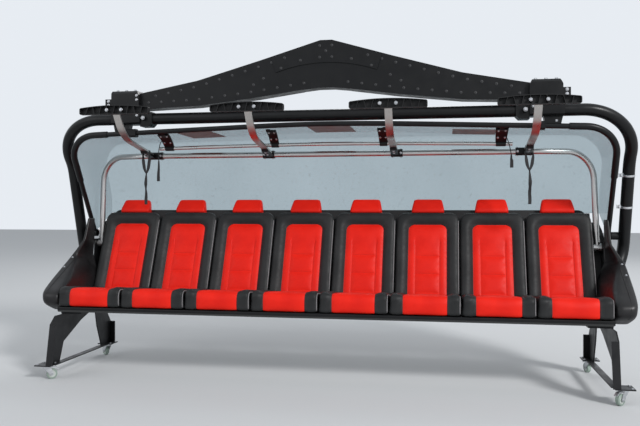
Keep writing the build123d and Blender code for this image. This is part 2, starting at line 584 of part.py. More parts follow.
# Bubble frame: side tubes and a bowed cross tube
half_bubble = [
    (BUBBLE_PIVOT_X, BUBBLE_PIVOT_Y, BUBBLE_PIVOT_Z), (BUBBLE_CORNER_X, BUBBLE_CORNER_Y, BUBBLE_CORNER_Z)]
bubble_points = half_bubble + [(0, BUBBLE_MIDDLE_Y, BUBBLE_MIDDLE_Z)]
bubble_points += [(-x, y, z) for x, y, z in reversed(half_bubble)]
bubble_frame = round_bar(bubble_points, [BUBBLE_CORNER_RADIUS, BUBBLE_BOW_RADIUS, BUBBLE_CORNER_RADIUS],
                         BUBBLE_TUBE_DIAMETER)

# Thicker elbow over each corner, and the block on the cross tube that meets the rubber stop's bracket
corner = Vector(BUBBLE_CORNER_X, BUBBLE_CORNER_Y, BUBBLE_CORNER_Z)
to_middle = Vector(0, BUBBLE_MIDDLE_Y, BUBBLE_MIDDLE_Z) - corner
to_pivot = (Vector(BUBBLE_PIVOT_X, BUBBLE_PIVOT_Y, BUBBLE_PIVOT_Z) - corner).normalized()
elbow_start = corner + to_middle * ((BUBBLE_CORNER_X - BUBBLE_ELBOW_X) / BUBBLE_CORNER_X)
elbow_end = corner + to_pivot * BUBBLE_ELBOW_REACH
elbow = round_bar([tuple(elbow_start), tuple(corner), tuple(elbow_end)], BUBBLE_CORNER_RADIUS, BUBBLE_ELBOW_DIAMETER)
stop_middle = corner + to_middle * ((BUBBLE_CORNER_X - HOUSING_X + 51) / BUBBLE_CORNER_X)
stop_block = Pos(stop_middle.X, depth(stop_middle.Y), stop_middle.Z) * Box(
    BUBBLE_STOP_WIDTH, BUBBLE_STOP_SIZE, BUBBLE_STOP_SIZE)
for piece in (elbow, chamfer(stop_block.edges().filter_by(Axis.X), 12)):
    bubble_frame += piece
    bubble_frame += mirrored(piece)
parts["bubble_frame"] = bubble_frame

handle_points = [
    (-HANDLE_BAR_HALF_LENGTH, HANDLE_BAR_Y, HANDLE_BAR_END_Z), (0, HANDLE_BAR_Y, HANDLE_BAR_MIDDLE_Z),
    (HANDLE_BAR_HALF_LENGTH, HANDLE_BAR_Y, HANDLE_BAR_END_Z)]
parts["handle_bar"] = round_bar(handle_points, HANDLE_BAR_BOW_RADIUS, HANDLE_BAR_DIAMETER)

# Pivot bosses at the foot of the side tubes
boss_half = BUBBLE_BOSS_WIDTH / 2
for side in (-1, 1):
    parts["bubble_frame"] += rod_x(side * BUBBLE_PIVOT_X - boss_half, side * BUBBLE_PIVOT_X + boss_half,
                                   BUBBLE_PIVOT_Y, BUBBLE_PIVOT_Z, BUBBLE_BOSS_DIAMETER)
    parts["bubble_frame"] -= rod_x(side * BUBBLE_PIVOT_X - boss_half - 1, side * BUBBLE_PIVOT_X + boss_half + 1,
                                   BUBBLE_PIVOT_Y, BUBBLE_PIVOT_Z, BUBBLE_PIN_DIAMETER + 2 * RUNNING_GAP)

# Bubble sheet: a crowned bowl behind the rim, open to the front and below
bowl_profile = [
    (BUBBLE_MIDDLE_Y - 4, BUBBLE_MIDDLE_Z + 14), (BOWL_ROOF_Y, BUBBLE_MIDDLE_Z + 14), (BOWL_BACK_Y, BOWL_BACK_Z),
    (BOWL_BACK_Y, BOWL_BACK_Z - BOWL_BACK_HEIGHT), (BUBBLE_PIVOT_Y + 15, BUBBLE_PIVOT_Z + 20),
    (BUBBLE_PIVOT_Y - 18, BUBBLE_PIVOT_Z + 40), (BUBBLE_CORNER_Y, BUBBLE_CORNER_Z + 2)]


def sheet_bowl(inset):
    """Solid that the sheet wraps, drawn in by an inset on every side."""
    half = BUBBLE_PIVOT_X - inset
    side = side_face(bowl_profile)
    lengthwise = extrude(side, half, dir=(1, 0, 0), both=True)
    bends = [e for e in lengthwise.edges().filter_by(Axis.X)
             if e.center().Y > depth(BOWL_ROOF_Y - 10) and e.center().Z > BOWL_BACK_Z - 10]
    lengthwise = fillet(bends, SHEET_BEND_RADIUS)
    rise = SHEET_RISE - inset
    low = BUBBLE_PIVOT_Z - 100
    front = FilletPolyline(
        (-half, 0, low), (-half, 0, BUBBLE_CORNER_Z + rise), (0, 0, BUBBLE_MIDDLE_Z + rise),
        (half, 0, BUBBLE_CORNER_Z + rise), (half, 0, low), close=True,
        radius=[1, BUBBLE_CORNER_RADIUS, BUBBLE_BOW_RADIUS, BUBBLE_CORNER_RADIUS, 1])
    across = extrude(make_face(front), 3 * BOWL_BACK_Y, dir=(0, 1, 0), both=True)
    return lengthwise & across


inner_bowl = sheet_bowl(SHEET_THICKNESS)
sheet = sheet_bowl(0) - Pos(0, -SHEET_THICKNESS, 0) * inner_bowl - Pos(0, -3 * SHEET_THICKNESS, -30) * inner_bowl
sheet -= parts["bubble_frame"]
parts["bubble_sheet"] = sheet.solids().sort_by(SortBy.VOLUME)[-1]

# Handle bar brackets, from the cross tube to the handle bar
def handle_bracket():
    path = FilletPolyline(*[(0, depth(y), z) for y, z in (
        (HANDLE_BAR_Y - 168, HANDLE_BAR_MIDDLE_Z + 106), (HANDLE_BAR_Y - 70, HANDLE_BAR_MIDDLE_Z + 66),
        (HANDLE_BAR_Y, HANDLE_BAR_MIDDLE_Z))], radius=60)
    profile = Plane(origin=path @ 0, x_dir=(1, 0, 0), z_dir=path % 0) * Rectangle(
        HANDLE_BRACKET_WIDTH, HANDLE_BRACKET_THICKNESS)
    return sweep(profile, path=path)


def handle_bar_drop(x):
    """How far the bowed handle bar lies below its middle point at a place along it."""
    slope = (HANDLE_BAR_MIDDLE_Z - HANDLE_BAR_END_Z) / HANDLE_BAR_HALF_LENGTH
    if x > HANDLE_BAR_BOW_RADIUS * slope:
        return x * slope
    return HANDLE_BAR_BOW_RADIUS * slope * slope / 2 + x * x / (2 * HANDLE_BAR_BOW_RADIUS)


one_bracket = handle_bracket()
brackets = []
for x in HANDLE_BRACKET_XS:
    right = Pos(x, 0, -handle_bar_drop(x)) * one_bracket - bubble_frame - parts["handle_bar"]
    brackets += [right, mirrored(right)]
parts["handle_brackets"] = Compound(brackets)

# Bubble pivots on the main tube
pivot_plate_x = BUBBLE_PIVOT_X + boss_half + 3
pivot = rod_x(BUBBLE_PIVOT_X - boss_half - 3, MAIN_HALF_WIDTH - 30, BUBBLE_PIVOT_Y, BUBBLE_PIVOT_Z,
              BUBBLE_PIN_DIAMETER)
pivot += rod_x(pivot_plate_x, MAIN_HALF_WIDTH, BUBBLE_PIVOT_Y, BUBBLE_PIVOT_Z, BUBBLE_BOSS_DIAMETER)
pivot -= main_side
pivot_solids = pivot.solids().sort_by(Axis.X)
pivot = pivot_solids[0]
parts["bubble_pivot_right"] = pivot
parts["bubble_pivot_left"] = mirrored(pivot)

# Side panels: a rounded nose beside the cushion that rises into a flared wing
def panel_section(z, radius, corners):
    """Closed outline of the side panel at one height."""
    datums = (REAR_RAIL_Y, 0, 0, REAR_RAIL_Y)
    points = [(BENCH_HALF + out, depth(datum + y), z) for datum, (out, y) in zip(datums, corners)]
    return make_face(FilletPolyline(*points, close=True, radius=[2, radius, radius, 2]))


panel = loft([panel_section(z, radius, corners) for z, radius, *corners in PANEL_SECTIONS], ruled=True)
panel -= bracket
parts["side_panel_right"] = panel
parts["side_panel_left"] = mirrored(panel)

# Stand: on each side two plate legs with a flange, their foot plates and a bar between them
def leg(outline, inward):
    """Plate leg with a flange on the outline's first edge. Inward is the flange's thickness and side."""
    plate = Pos(LEG_X, 0, 0) * extrude(side_face(outline), LEG_THICKNESS, dir=(1, 0, 0))
    (y0, z0), (y1, z1) = outline[:2]
    strip = side_face([(y0, z0), (y1, z1), (y1 + inward, z1), (y0 + inward, z0)])
    return plate + Pos(LEG_X - LEG_FLANGE, 0, 0) * extrude(strip, LEG_FLANGE, dir=(1, 0, 0))


stand = leg(FRONT_LEG, LEG_THICKNESS) + leg(REAR_LEG, -LEG_THICKNESS)
for x, y in ((FRONT_CASTOR_X, FRONT_CASTOR_Y), (REAR_CASTOR_X, REAR_CASTOR_Y)):
    half = FOOT_PLATE_SIZE / 2
    stand += block(x - half, x + half, y - half, y + half, CASTOR_HEIGHT, CASTOR_HEIGHT + FOOT_PLATE_THICKNESS)
    stand += Pos(x, depth(y), CASTOR_HEIGHT - 13) * extrude(Circle(KINGPIN_DIAMETER / 2), 13)
stand += block(LEG_X - LEG_FLANGE, LEG_X + LEG_THICKNESS, FRONT_CASTOR_Y, REAR_CASTOR_Y, CASTOR_HEIGHT,
               CASTOR_HEIGHT + FOOT_PLATE_THICKNESS)
stand_top_z = rail_top - FRONT_RAIL_HEIGHT
stand += block(LEG_X - 160, LEG_X + LEG_THICKNESS, 60, REAR_RAIL_Y + 60, stand_top_z - 26, stand_top_z)
stand -= rear_rail
parts["stand_right"] = stand
parts["stand_left"] = mirrored(stand)


# Castors
def castor_fork(x, y, angle):
    """Swivel head, two cheeks and the brake pedal, trailing along local +X before it is turned."""
    inner = CASTOR_WHEEL_WIDTH / 2 + FORK_GAP
    head_z = CASTOR_HEIGHT - 14
    fork = Pos(0, 0, head_z) * extrude(Circle(SWIVEL_DIAMETER / 2), 13.7)
    fork += Pos(-2, 0, head_z - 2) * Box(48, 2 * (inner + FORK_WALL), 4)
    fork -= Pos(0, 0, head_z - 6) * extrude(Circle(KINGPIN_DIAMETER / 2 + RUNNING_GAP), 30)
    axle_z = CASTOR_WHEEL_DIAMETER / 2
    cheek_line = Polyline((-26, 0, head_z), (30, 0, head_z), (CASTOR_TRAIL + 16, 0, axle_z),
                          (CASTOR_TRAIL, 0, axle_z - 15), (CASTOR_TRAIL - 16, 0, axle_z - 6), close=True)
    cheek = extrude(make_face(cheek_line), FORK_WALL, dir=(0, 1, 0))
    fork += Pos(0, inner, 0) * cheek
    fork += Pos(0, -inner - FORK_WALL, 0) * cheek
    axle_plane = Plane(origin=(CASTOR_TRAIL, -inner - FORK_WALL - 4, axle_z), z_dir=(0, 1, 0))
    fork += extrude(axle_plane * Circle(CASTOR_AXLE_DIAMETER / 2), 2 * (inner + FORK_WALL + 4))
    pedal_line = Polyline((18, 0, head_z), (18, 0, head_z - 6), (66, 0, head_z - 6), (90, 0, head_z - 24),
                          (93, 0, head_z - 20), (68, 0, head_z), close=True)
    fork += extrude(make_face(pedal_line), PEDAL_WIDTH / 2, dir=(0, 1, 0), both=True)
    return Pos(x, depth(y), 0) * Rot(0, 0, angle) * fork


def castor_wheel(x, y, angle):
    axle_z = CASTOR_WHEEL_DIAMETER / 2
    plane = Plane(origin=(CASTOR_TRAIL, -CASTOR_WHEEL_WIDTH / 2, axle_z), z_dir=(0, 1, 0))
    wheel = extrude(plane * Circle(axle_z), CASTOR_WHEEL_WIDTH)
    wheel = chamfer(wheel.edges(), 5)
    ring = Circle(axle_z - CASTOR_TREAD_THICKNESS) - Circle(CASTOR_HUB_DIAMETER / 2)
    wheel -= extrude(plane * ring, CASTOR_HUB_RECESS)
    wheel -= Pos(0, CASTOR_WHEEL_WIDTH - CASTOR_HUB_RECESS, 0) * extrude(plane * ring, CASTOR_HUB_RECESS)
    wheel -= extrude(plane * Circle(CASTOR_AXLE_DIAMETER / 2 + RUNNING_GAP), CASTOR_WHEEL_WIDTH)
    return Pos(x, depth(y), 0) * Rot(0, 0, angle) * wheel


for name, x, y, angle in CASTORS:
    parts[f"castor_fork_{name}"] = castor_fork(x, y, angle)
    parts[f"castor_wheel_{name}"] = castor_wheel(x, y, angle)

os.makedirs("parts", exist_ok=True)
for name, shape in parts.items():
    export_step(shape, f"parts/{name}.step")
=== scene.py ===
import math

import bpy
import numpy as np
from mathutils import Matrix, Vector
from mathutils.bvhtree import BVHTree


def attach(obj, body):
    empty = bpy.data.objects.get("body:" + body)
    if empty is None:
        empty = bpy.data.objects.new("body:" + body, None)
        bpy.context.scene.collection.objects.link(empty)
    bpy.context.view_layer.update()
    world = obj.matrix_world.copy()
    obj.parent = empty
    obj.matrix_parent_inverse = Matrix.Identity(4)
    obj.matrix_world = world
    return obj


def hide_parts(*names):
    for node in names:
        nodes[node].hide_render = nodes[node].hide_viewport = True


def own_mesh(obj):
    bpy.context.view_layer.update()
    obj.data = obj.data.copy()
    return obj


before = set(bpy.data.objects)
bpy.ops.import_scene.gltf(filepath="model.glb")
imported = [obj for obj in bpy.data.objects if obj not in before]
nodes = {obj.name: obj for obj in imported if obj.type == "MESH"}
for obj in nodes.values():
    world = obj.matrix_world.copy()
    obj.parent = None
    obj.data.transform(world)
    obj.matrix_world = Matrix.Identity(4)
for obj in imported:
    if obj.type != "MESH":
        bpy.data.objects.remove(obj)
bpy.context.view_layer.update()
scene = bpy.context.scene

SIDES = {"left": -1, "right": 1}
FRONT, REAR, UP = Vector((0, -1, 0)), Vector((0, 1, 0)), Vector((0, 0, 1))

# Sizes repeated from the frame, in metres
SEAM_Y = -0.5233
SEAT_PITCH = 0.520
SEAT_COUNT = 8
SEAT_XS = [(i - 0.5 * (SEAT_COUNT - 1)) * SEAT_PITCH for i in range(SEAT_COUNT)]
BENCH_HALF = 0.5 * SEAT_COUNT * SEAT_PITCH
RECLINE = math.radians(22.6)
SEAT_HALF = 0.254


def depth(y):
    """Y in the row frame of a depth behind the cushions' front seam."""
    return SEAM_Y + y


def at(x, y, z):
    """Point at a depth behind the seam."""
    return Vector((x, depth(y), z))


def place_object(name, data):
    obj = bpy.data.objects.new(name, data)
    scene.collection.objects.link(obj)
    return obj


# Camera at the photograph's place
CAMERA_PLACE = Vector((0.9264, -5.7468, 1.2978))
CAMERA_YAW = -0.17249
CAMERA_PITCH = -0.00274
CAMERA_ROLL = 0.00091
CAMERA_LENS = 40.56


def make_camera():
    data = bpy.data.cameras.new("camera")
    data.lens = CAMERA_LENS
    data.sensor_width = 36
    camera = place_object("camera", data)
    cy, sy = math.cos(CAMERA_YAW), math.sin(CAMERA_YAW)
    cp, sp = math.cos(CAMERA_PITCH), math.sin(CAMERA_PITCH)
    ahead = Vector((sy * cp, cy * cp, sp))
    right = Vector((cy, -sy, 0))
    up = right.cross(ahead)
    tilted_right = right * math.cos(CAMERA_ROLL) + up * math.sin(CAMERA_ROLL)
    tilted_up = up * math.cos(CAMERA_ROLL) - right * math.sin(CAMERA_ROLL)
    turn = Matrix((tilted_right, tilted_up, -ahead)).transposed()
    camera.matrix_world = Matrix.Translation(CAMERA_PLACE) @ turn.to_4x4()
    scene.camera = camera


# Lights as (name, place, size, power), and the backdrop and ambient light as (colour, strength)
LIGHTS = (("key", (14.0, -13.4, 11.8), 4.0, 3650),
          ("fill", (-7.0, -6.5, 5.5), 6.0, 140),
          ("back", (0.8, 12.0, 9.6), 6.4, 470))
LIGHT_AIM = Vector((0, 0, 1.2))
BACKDROP = ((0.80, 0.84, 0.89, 1), 1.0)
AMBIENT = ((0.9, 0.95, 1.0, 1), 0.5)


def make_lights():
    for name, place, size, power in LIGHTS:
        data = bpy.data.lights.new(name, "AREA")
        data.size = size
        data.energy = power
        lamp = place_object(name, data)
        lamp.location = place
        lamp.rotation_mode = "QUATERNION"
        lamp.rotation_quaternion = (LIGHT_AIM - Vector(place)).to_track_quat("-Z", "Y")


def make_world():
    """Plain backdrop for camera, transmission and glossy rays, and a dimmer light for all others."""
    world = bpy.data.worlds.new("studio")
    scene.world = world
    world.use_nodes = True
    tree = world.node_tree
    tree.nodes.clear()
    out = tree.nodes.new("ShaderNodeOutputWorld")
    path = tree.nodes.new("ShaderNodeLightPath")
    shown = path.outputs["Is Camera Ray"]
    for ray in ("Is Transmission Ray", "Is Glossy Ray"):
        either = tree.nodes.new("ShaderNodeMath")
        either.operation = "MAXIMUM"
        tree.links.new(shown, either.inputs[0])
        tree.links.new(path.outputs[ray], either.inputs[1])
        shown = either.outputs[0]
    mix = tree.nodes.new("ShaderNodeMixShader")
    tree.links.new(shown, mix.inputs[0])
    for socket, (colour, strength) in ((mix.inputs[1], AMBIENT), (mix.inputs[2], BACKDROP)):
        sky = tree.nodes.new("ShaderNodeBackground")
        sky.inputs["Color"].default_value = colour
        sky.inputs["Strength"].default_value = strength
        tree.links.new(sky.outputs[0], socket)
    tree.links.new(mix.outputs[0], out.inputs[0])


# Materials
class Nodes:
    """Small helper that builds a material's node tree."""

    def __init__(self, name):
        self.material = bpy.data.materials.new(name)
        self.material.use_nodes = True
        self.tree = self.material.node_tree
        self.tree.nodes.clear()
        self.out = self.add("ShaderNodeOutputMaterial")
        self.shader = self.add("ShaderNodeBsdfPrincipled")
        self.link(self.shader.outputs[0], self.out.inputs["Surface"])
        self.place = self.add("ShaderNodeTexCoord").outputs["Object"]

    def add(self, kind, **settings):
        node = self.tree.nodes.new(kind)
        for key, value in settings.items():
            setattr(node, key, value)
        return node

    def link(self, a, b):
        self.tree.links.new(a, b)

    def put(self, socket, value):
        """Link an output to a socket, or write a colour or a number in it."""
        if hasattr(value, "is_linked"):
            self.link(value, socket)
        elif hasattr(value, "__len__"):
            socket.default_value = (*value, 1)
        else:
            socket.default_value = value

    def texture(self, kind, scale, detail=None, vector=None):
        node = self.add(kind)
        node.inputs["Scale"].default_value = scale
        if detail is not None:
            node.inputs["Detail"].default_value = detail
        self.link(self.place if vector is None else vector, node.inputs["Vector"])
        return node.outputs[0]

    def noise(self, scale, detail, vector=None):
        return self.texture("ShaderNodeTexNoise", scale, detail, vector)

    def ramp(self, source, *stops):
        node = self.add("ShaderNodeValToRGB")
        elements = node.color_ramp.elements
        for element, (at, colour) in zip(elements, stops):
            element.position = at
            element.color = (*colour, 1) if hasattr(colour, "__len__") else (colour, colour, colour, 1)
        self.link(source, node.inputs[0])
        return node.outputs[0]

    def cloud(self, scale, detail, *stops):
        return self.ramp(self.noise(scale, detail), *stops)

    def mix(self, factor, a, b):
        node = self.add("ShaderNodeMix", data_type="RGBA")
        for socket, value in ((node.inputs[0], factor), (node.inputs[6], a), (node.inputs[7], b)):
            self.put(socket, value)
        return node.outputs[2]

    def math(self, operation, a, b):
        node = self.add("ShaderNodeMath", operation=operation)
        for socket, value in zip(node.inputs, (a, b)):
            self.put(socket, value)
        return node.outputs[0]

    def bump(self, height, strength, distance, normal=None):
        node = self.add("ShaderNodeBump")
        node.inputs["Strength"].default_value = strength
        node.inputs["Distance"].default_value = distance
        self.link(height, node.inputs["Height"])
        if normal is not None:
            self.link(normal, node.inputs["Normal"])
        return node.outputs[0]

    def set(self, **values):
        for key, value in values.items():
            self.put(self.shader.inputs[key.replace("_", " ")], value)


def leather(name, dark, light, rough):
    """Grained coated cover: fine pebble grain, soft cloudiness, slightly worn highs."""
    m = Nodes(name)
    m.set(Base_Color=m.cloud(6.0, 4, (0.3, dark), (0.7, light)))
    m.set(Roughness=m.cloud(40.0, 3, (0.3, rough - 0.05), (0.7, rough + 0.07)))
    folds = m.bump(m.noise(34.0, 3), 0.12, 0.004)
    grain = m.bump(m.texture("ShaderNodeTexVoronoi", 620.0), 0.22, 0.0006, folds)
    m.set(Normal=m.bump(m.noise(900.0, 3), 0.1, 0.0004, grain))
    m.set(Specular_IOR_Level=0.22)
    return m.material


def paint(name, colour, rough, dust):
    """Powder coat: orange peel, faint dust, slightly uneven gloss."""
    m = Nodes(name)
    pale = tuple(c + dust for c in colour)
    m.set(Base_Color=m.mix(m.cloud(3.0, 5, (0.45, 0.0), (0.85, 0.55)), colour, pale))
    m.set(Roughness=m.cloud(12.0, 5, (0.3, rough - 0.08), (0.7, rough + 0.1)))
    m.set(Normal=m.bump(m.noise(420.0, 2), 0.12, 0.0005))
    m.set(Specular_IOR_Level=0.24)
    return m.material


def metal(name, colour, rough, stretch=None, spots=0.0):
    """Plated or brushed metal with faint streaks and handling marks."""
    m = Nodes(name)
    vector = m.place
    if stretch:
        mapping = m.add("ShaderNodeMapping")
        mapping.inputs["Scale"].default_value = stretch
        m.link(m.place, mapping.inputs["Vector"])
        vector = mapping.outputs[0]
    streak = m.noise(60.0, 4, vector)
    tone = tuple(c * 0.8 for c in colour)
    m.set(Base_Color=m.mix(m.ramp(streak, (0.35, 0.0), (0.7, 1.0)), tone, colour))
    m.set(Metallic=1.0)
    m.set(Roughness=m.cloud(9.0, 6, (0.3, rough - 0.06), (0.72, rough + 0.14 + spots)))
    m.set(Normal=m.bump(streak, 0.05, 0.0004))
    return m.material


def moulding(name, colour, rough, grain=700.0):
    """Moulded plastic with a fine spark grain."""
    m = Nodes(name)
    pale = tuple(min(1.0, c * 1.35 + 0.006) for c in colour)
    m.set(Base_Color=m.mix(m.cloud(5.0, 4, (0.35, 0.0), (0.75, 1.0)), colour, pale))
    m.set(Roughness=m.cloud(20.0, 4, (0.3, rough - 0.06), (0.7, rough + 0.08)))
    m.set(Normal=m.bump(m.noise(grain, 2), 0.22, 0.0006))
    m.set(Specular_IOR_Level=0.3)
    return m.material


def webbing(name, colour):
    """Woven strap."""
    m = Nodes(name)
    wave = m.add("ShaderNodeTexWave", wave_type="BANDS", bands_direction="Z")
    wave.inputs["Scale"].default_value = 160.0
    wave.inputs["Distortion"].default_value = 1.5
    m.link(m.place, wave.inputs["Vector"])
    m.set(Base_Color=m.mix(wave.outputs[1], colour, tuple(c * 1.8 for c in colour)), Roughness=0.8)
    m.set(Normal=m.bump(wave.outputs[1], 0.4, 0.0006))
    return m.material


def clear_sheet(name):
    """Thin clear sheet: a grey-blue tint, gloss by angle, fine wiping marks."""
    m = Nodes(name)
    film = m.add("ShaderNodeBsdfTransparent")
    tint = m.cloud(1.4, 4, (0.3, (0.67, 0.72, 0.735)), (0.75, (0.71, 0.76, 0.775)))
    m.link(tint, film.inputs["Color"])
    m.set(Base_Color=(0.50, 0.57, 0.61), Roughness=0.06)
    m.set(Normal=m.bump(m.noise(3.0, 2), 0.04, 0.02))
    edge = m.add("ShaderNodeFresnel")
    edge.inputs["IOR"].default_value = 1.5
    gloss = m.math("MINIMUM", m.math("MULTIPLY", edge.outputs[0], 0.7), 0.28)
    scuffs = m.cloud(38.0, 8, (0.58, 0.0), (0.8, 0.12))
    mix = m.add("ShaderNodeMixShader")
    m.link(m.math("ADD", gloss, scuffs), mix.inputs[0])
    m.link(film.outputs[0], mix.inputs[1])
    m.link(m.shader.outputs[0], mix.inputs[2])
    m.link(mix.outputs[0], m.out.inputs["Surface"])
    return m.material


RED = leather("red_leather", (0.66, 0.008, 0.002), (0.78, 0.014, 0.004), 0.5)
DARK = leather("charcoal_leather", (0.013, 0.0135, 0.014), (0.024, 0.0245, 0.025), 0.52)
# Piping colour: light grey, partly a painted highlight of the lit right seat edges
LIT_EDGE_PIPING = moulding("grey_piping_painted_highlight", (0.17, 0.16, 0.165), 0.5)
BLACK = paint("black_powder_coat", (0.0045, 0.0047, 0.0052), 0.36, 0.006)
STAND_BLACK = paint("stand_paint", (0.007, 0.007, 0.008), 0.42, 0.016)
STEEL = metal("satin_steel", (0.62, 0.61, 0.60), 0.28, (1.0, 14.0, 14.0))
ARM_STEEL = metal("arm_steel", (0.60, 0.57, 0.54), 0.3, (14.0, 1.0, 1.0))
ZINC = metal("bright_zinc", (0.66, 0.67, 0.69), 0.3, spots=0.1)
BOLT = metal("bolt_zinc", (0.55, 0.56, 0.58), 0.32, spots=0.08)
PANEL = moulding("panel_moulding", (0.0085, 0.008, 0.0085), 0.4)
SHELL = moulding("shell_moulding", (0.009, 0.009, 0.0095), 0.5)
PAD = moulding("pad_moulding", (0.006, 0.006, 0.0065), 0.52)
TREAD = moulding("castor_tread", (0.25, 0.31, 0.27), 0.5, 300.0)
HUB = moulding("castor_hub", (0.50, 0.53, 0.50), 0.4, 300.0)
STRAP = webbing("strap_webbing", (0.009, 0.009, 0.010))
LABEL = moulding("blank_label", (0.17, 0.045, 0.03), 0.35)
CLEAR = clear_sheet("clear_polycarbonate")
RUBBER = moulding("rubber", (0.012, 0.012, 0.012), 0.7)
THREAD = moulding("seam_thread", (0.16, 0.012, 0.01), 0.6)
DARK_BOLT = paint("dark_bolt", (0.045, 0.045, 0.047), 0.3, 0.02)
RAIL_LIP = paint("rail_lip", (0.030, 0.031, 0.031), 0.4, 0.01)


def dress(material, *names):
    """Give CAD nodes a material."""
    for name in names:
        mesh = nodes[name].data
        mesh.materials.clear()
        mesh.materials.append(material)


CORNERS = ("front_left", "front_right", "rear_left", "rear_right")
BLACK_PAIRS = ("main_frame", "damper_housing", "side_bracket", "bubble_pivot")
dress(BLACK, "main_frame_top", "hanger_beam", "bubble_frame", "handle_brackets", "seat_rear_rail",
      "seat_front_rail", "bar_clamps", *[f"{n}_{s}" for s in SIDES for n in BLACK_PAIRS])
dress(STAND_BLACK, "stand_left", "stand_right")
dress(STEEL, "restraint_bar", "handle_bar")
dress(ARM_STEEL, "footrest_arms")
dress(PAD, "footrest_pads")
dress(SHELL, "back_shell", "seat_pan")
dress(PANEL, "side_panel_left", "side_panel_right")
dress(CLEAR, "bubble_sheet")
dress(ZINC, *[f"castor_fork_{n}" for n in CORNERS])
dress(TREAD, *[f"castor_wheel_{n}" for n in CORNERS])


# Mesh helpers
def make_finer(obj):
    finer = obj.modifiers.new("finer", "SUBSURF")
    finer.levels = 1
    finer.render_levels = 1


def soften(obj, width, segments):
    edge = obj.modifiers.new("edge", "BEVEL")
    edge.width = width
    edge.segments = segments


def add_piece(name, points, faces, materials, body, slots=None, smooth=True, fine=False):
    """Make a mesh object that rides on a body. Slots gives a material number for each face."""
    mesh = bpy.data.meshes.new(name)
    mesh.from_pydata([tuple(p) for p in points], [], [tuple(f) for f in faces])
    for material in materials:
        mesh.materials.append(material)
    if slots is not None:
        mesh.polygons.foreach_set("material_index", slots)
    if smooth:
        mesh.polygons.foreach_set("use_smooth", [True] * len(mesh.polygons))
    mesh.validate()
    obj = place_object(name, mesh)
    if fine:
        make_finer(obj)
    if body:
        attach(obj, body)
    return obj


def joined(parts):
    """Several (points, faces) as one."""
    points, faces = [], []
    for some, more in parts:
        start = len(points)
        points += list(some)
        faces += [tuple(i + start for i in f) for f in more]
    return points, faces


def add_parts(name, parts, material, body):
    points, faces = joined(parts)
    return add_piece(name, points, faces, [material], body, smooth=False)


def grid_faces(rows, cols):
    starts = [r * cols + c for r in range(rows - 1) for c in range(cols - 1)]
    return [(a, a + 1, a + cols + 1, a + cols) for a in starts]


def loft_faces(loops, sides):
    """Faces between closed loops of points, and one over each end."""
    faces = []
    for i in range(loops - 1):
        for k in range(sides):
            a, b = i * sides + k, i * sides + (k + 1) % sides
            faces.append((a, b, b + sides, a + sides))
    return faces + [tuple(range(sides))[::-1], tuple(range((loops - 1) * sides, loops * sides))]


def closed_grid(front, rear):
    """A grid of front points, closed by rings of rear points along its border and one rear face."""
    rows, cols = len(front), len(front[0])
    points = [p for row in front for p in row]
    faces = grid_faces(rows, cols)
    border = list(range(cols))
    border += [r * cols + cols - 1 for r in range(1, rows)]
    border += [(rows - 1) * cols + c for c in range(cols - 2, -1, -1)]
    border += [r * cols for r in range(rows - 2, 0, -1)]
    last = border
    for ring in rear:
        start = len(points)
        points += [ring(points[i]) for i in border]
        now = list(range(start, start + len(border)))
        for i in range(len(border)):
            j = (i + 1) % len(border)
            faces.append((last[i], now[i], now[j], last[j]))
        last = now
    faces.append(tuple(last))
    return points, faces


def tube(points, radius, sides):
    """Points and faces of a round tube along a line of points, closed at both ends."""
    line = [Vector(p) for p in points]
    made = []
    normal = None
    for i, p in enumerate(line):
        along = (line[min(i + 1, len(line) - 1)] - line[max(i - 1, 0)]).normalized()
        if normal is None:
            normal = along.orthogonal().normalized()
        normal = (normal - along * normal.dot(along)).normalized()
        other = along.cross(normal)
        for k in range(sides):
            angle = 2 * math.pi * k / sides
            made.append(p + radius * (math.cos(angle) * normal + math.sin(angle) * other))
    return made, loft_faces(len(line), sides)


def turned(rings, place, out, sides, first=0.0):
    """A solid of (radius, height) rings about a place, along its outward direction."""
    out = Vector(out).normalized()
    side = out.orthogonal().normalized()
    other = out.cross(side)
    points = []
    for radius, height in rings:
        for k in range(sides):
            angle = first + 2 * math.pi * k / sides
            spoke = math.cos(angle) * side + math.sin(angle) * other
            points.append(Vector(place) + out * height + radius * spoke)
    return points, loft_faces(len(rings), sides)


def ribbon(line, thickness):
    """A strap along (point, half width vector) pairs."""
    points = []
    for i, (p, half) in enumerate(line):
        along = (line[min(i + 1, len(line) - 1)][0] - line[max(i - 1, 0)][0]).normalized()
        out = along.cross(half).normalized() * thickness / 2
        points += [p - half + out, p + half + out, p + half - out, p - half - out]
    return points, loft_faces(len(line), 4)


def box_part(middle, half):
    """A block about its middle."""
    signs = [Vector((x, y, z)) for x in (-1, 1) for y in (-1, 1) for z in (-1, 1)]
    corners = [middle + half * sign for sign in signs]
    return corners, [(0, 1, 3, 2), (4, 6, 7, 5), (0, 4, 5, 1), (2, 3, 7, 6), (0, 2, 6, 4), (1, 5, 7, 3)]


def curve_points(knots, i, count):
    """Points of a smooth curve from one knot up to the next."""
    p0, p1, p2, p3 = knots[max(i - 1, 0)], knots[i], knots[i + 1], knots[min(i + 2, len(knots) - 1)]
    return [0.5 * ((2 * p1) + (p2 - p0) * t + (2 * p0 - 5 * p1 + 4 * p2 - p3) * t * t
                   + (3 * p1 - p0 - 3 * p2 + p3) * t ** 3) for t in (k / count for k in range(count))]


def smooth_line(stops, count):
    """Smooth curve through stops of any length of numbers, as rows of numbers."""
    knots = [np.array(s, float) for s in stops]
    return [p for i in range(len(knots) - 1) for p in curve_points(knots, i, count)] + [knots[-1]]


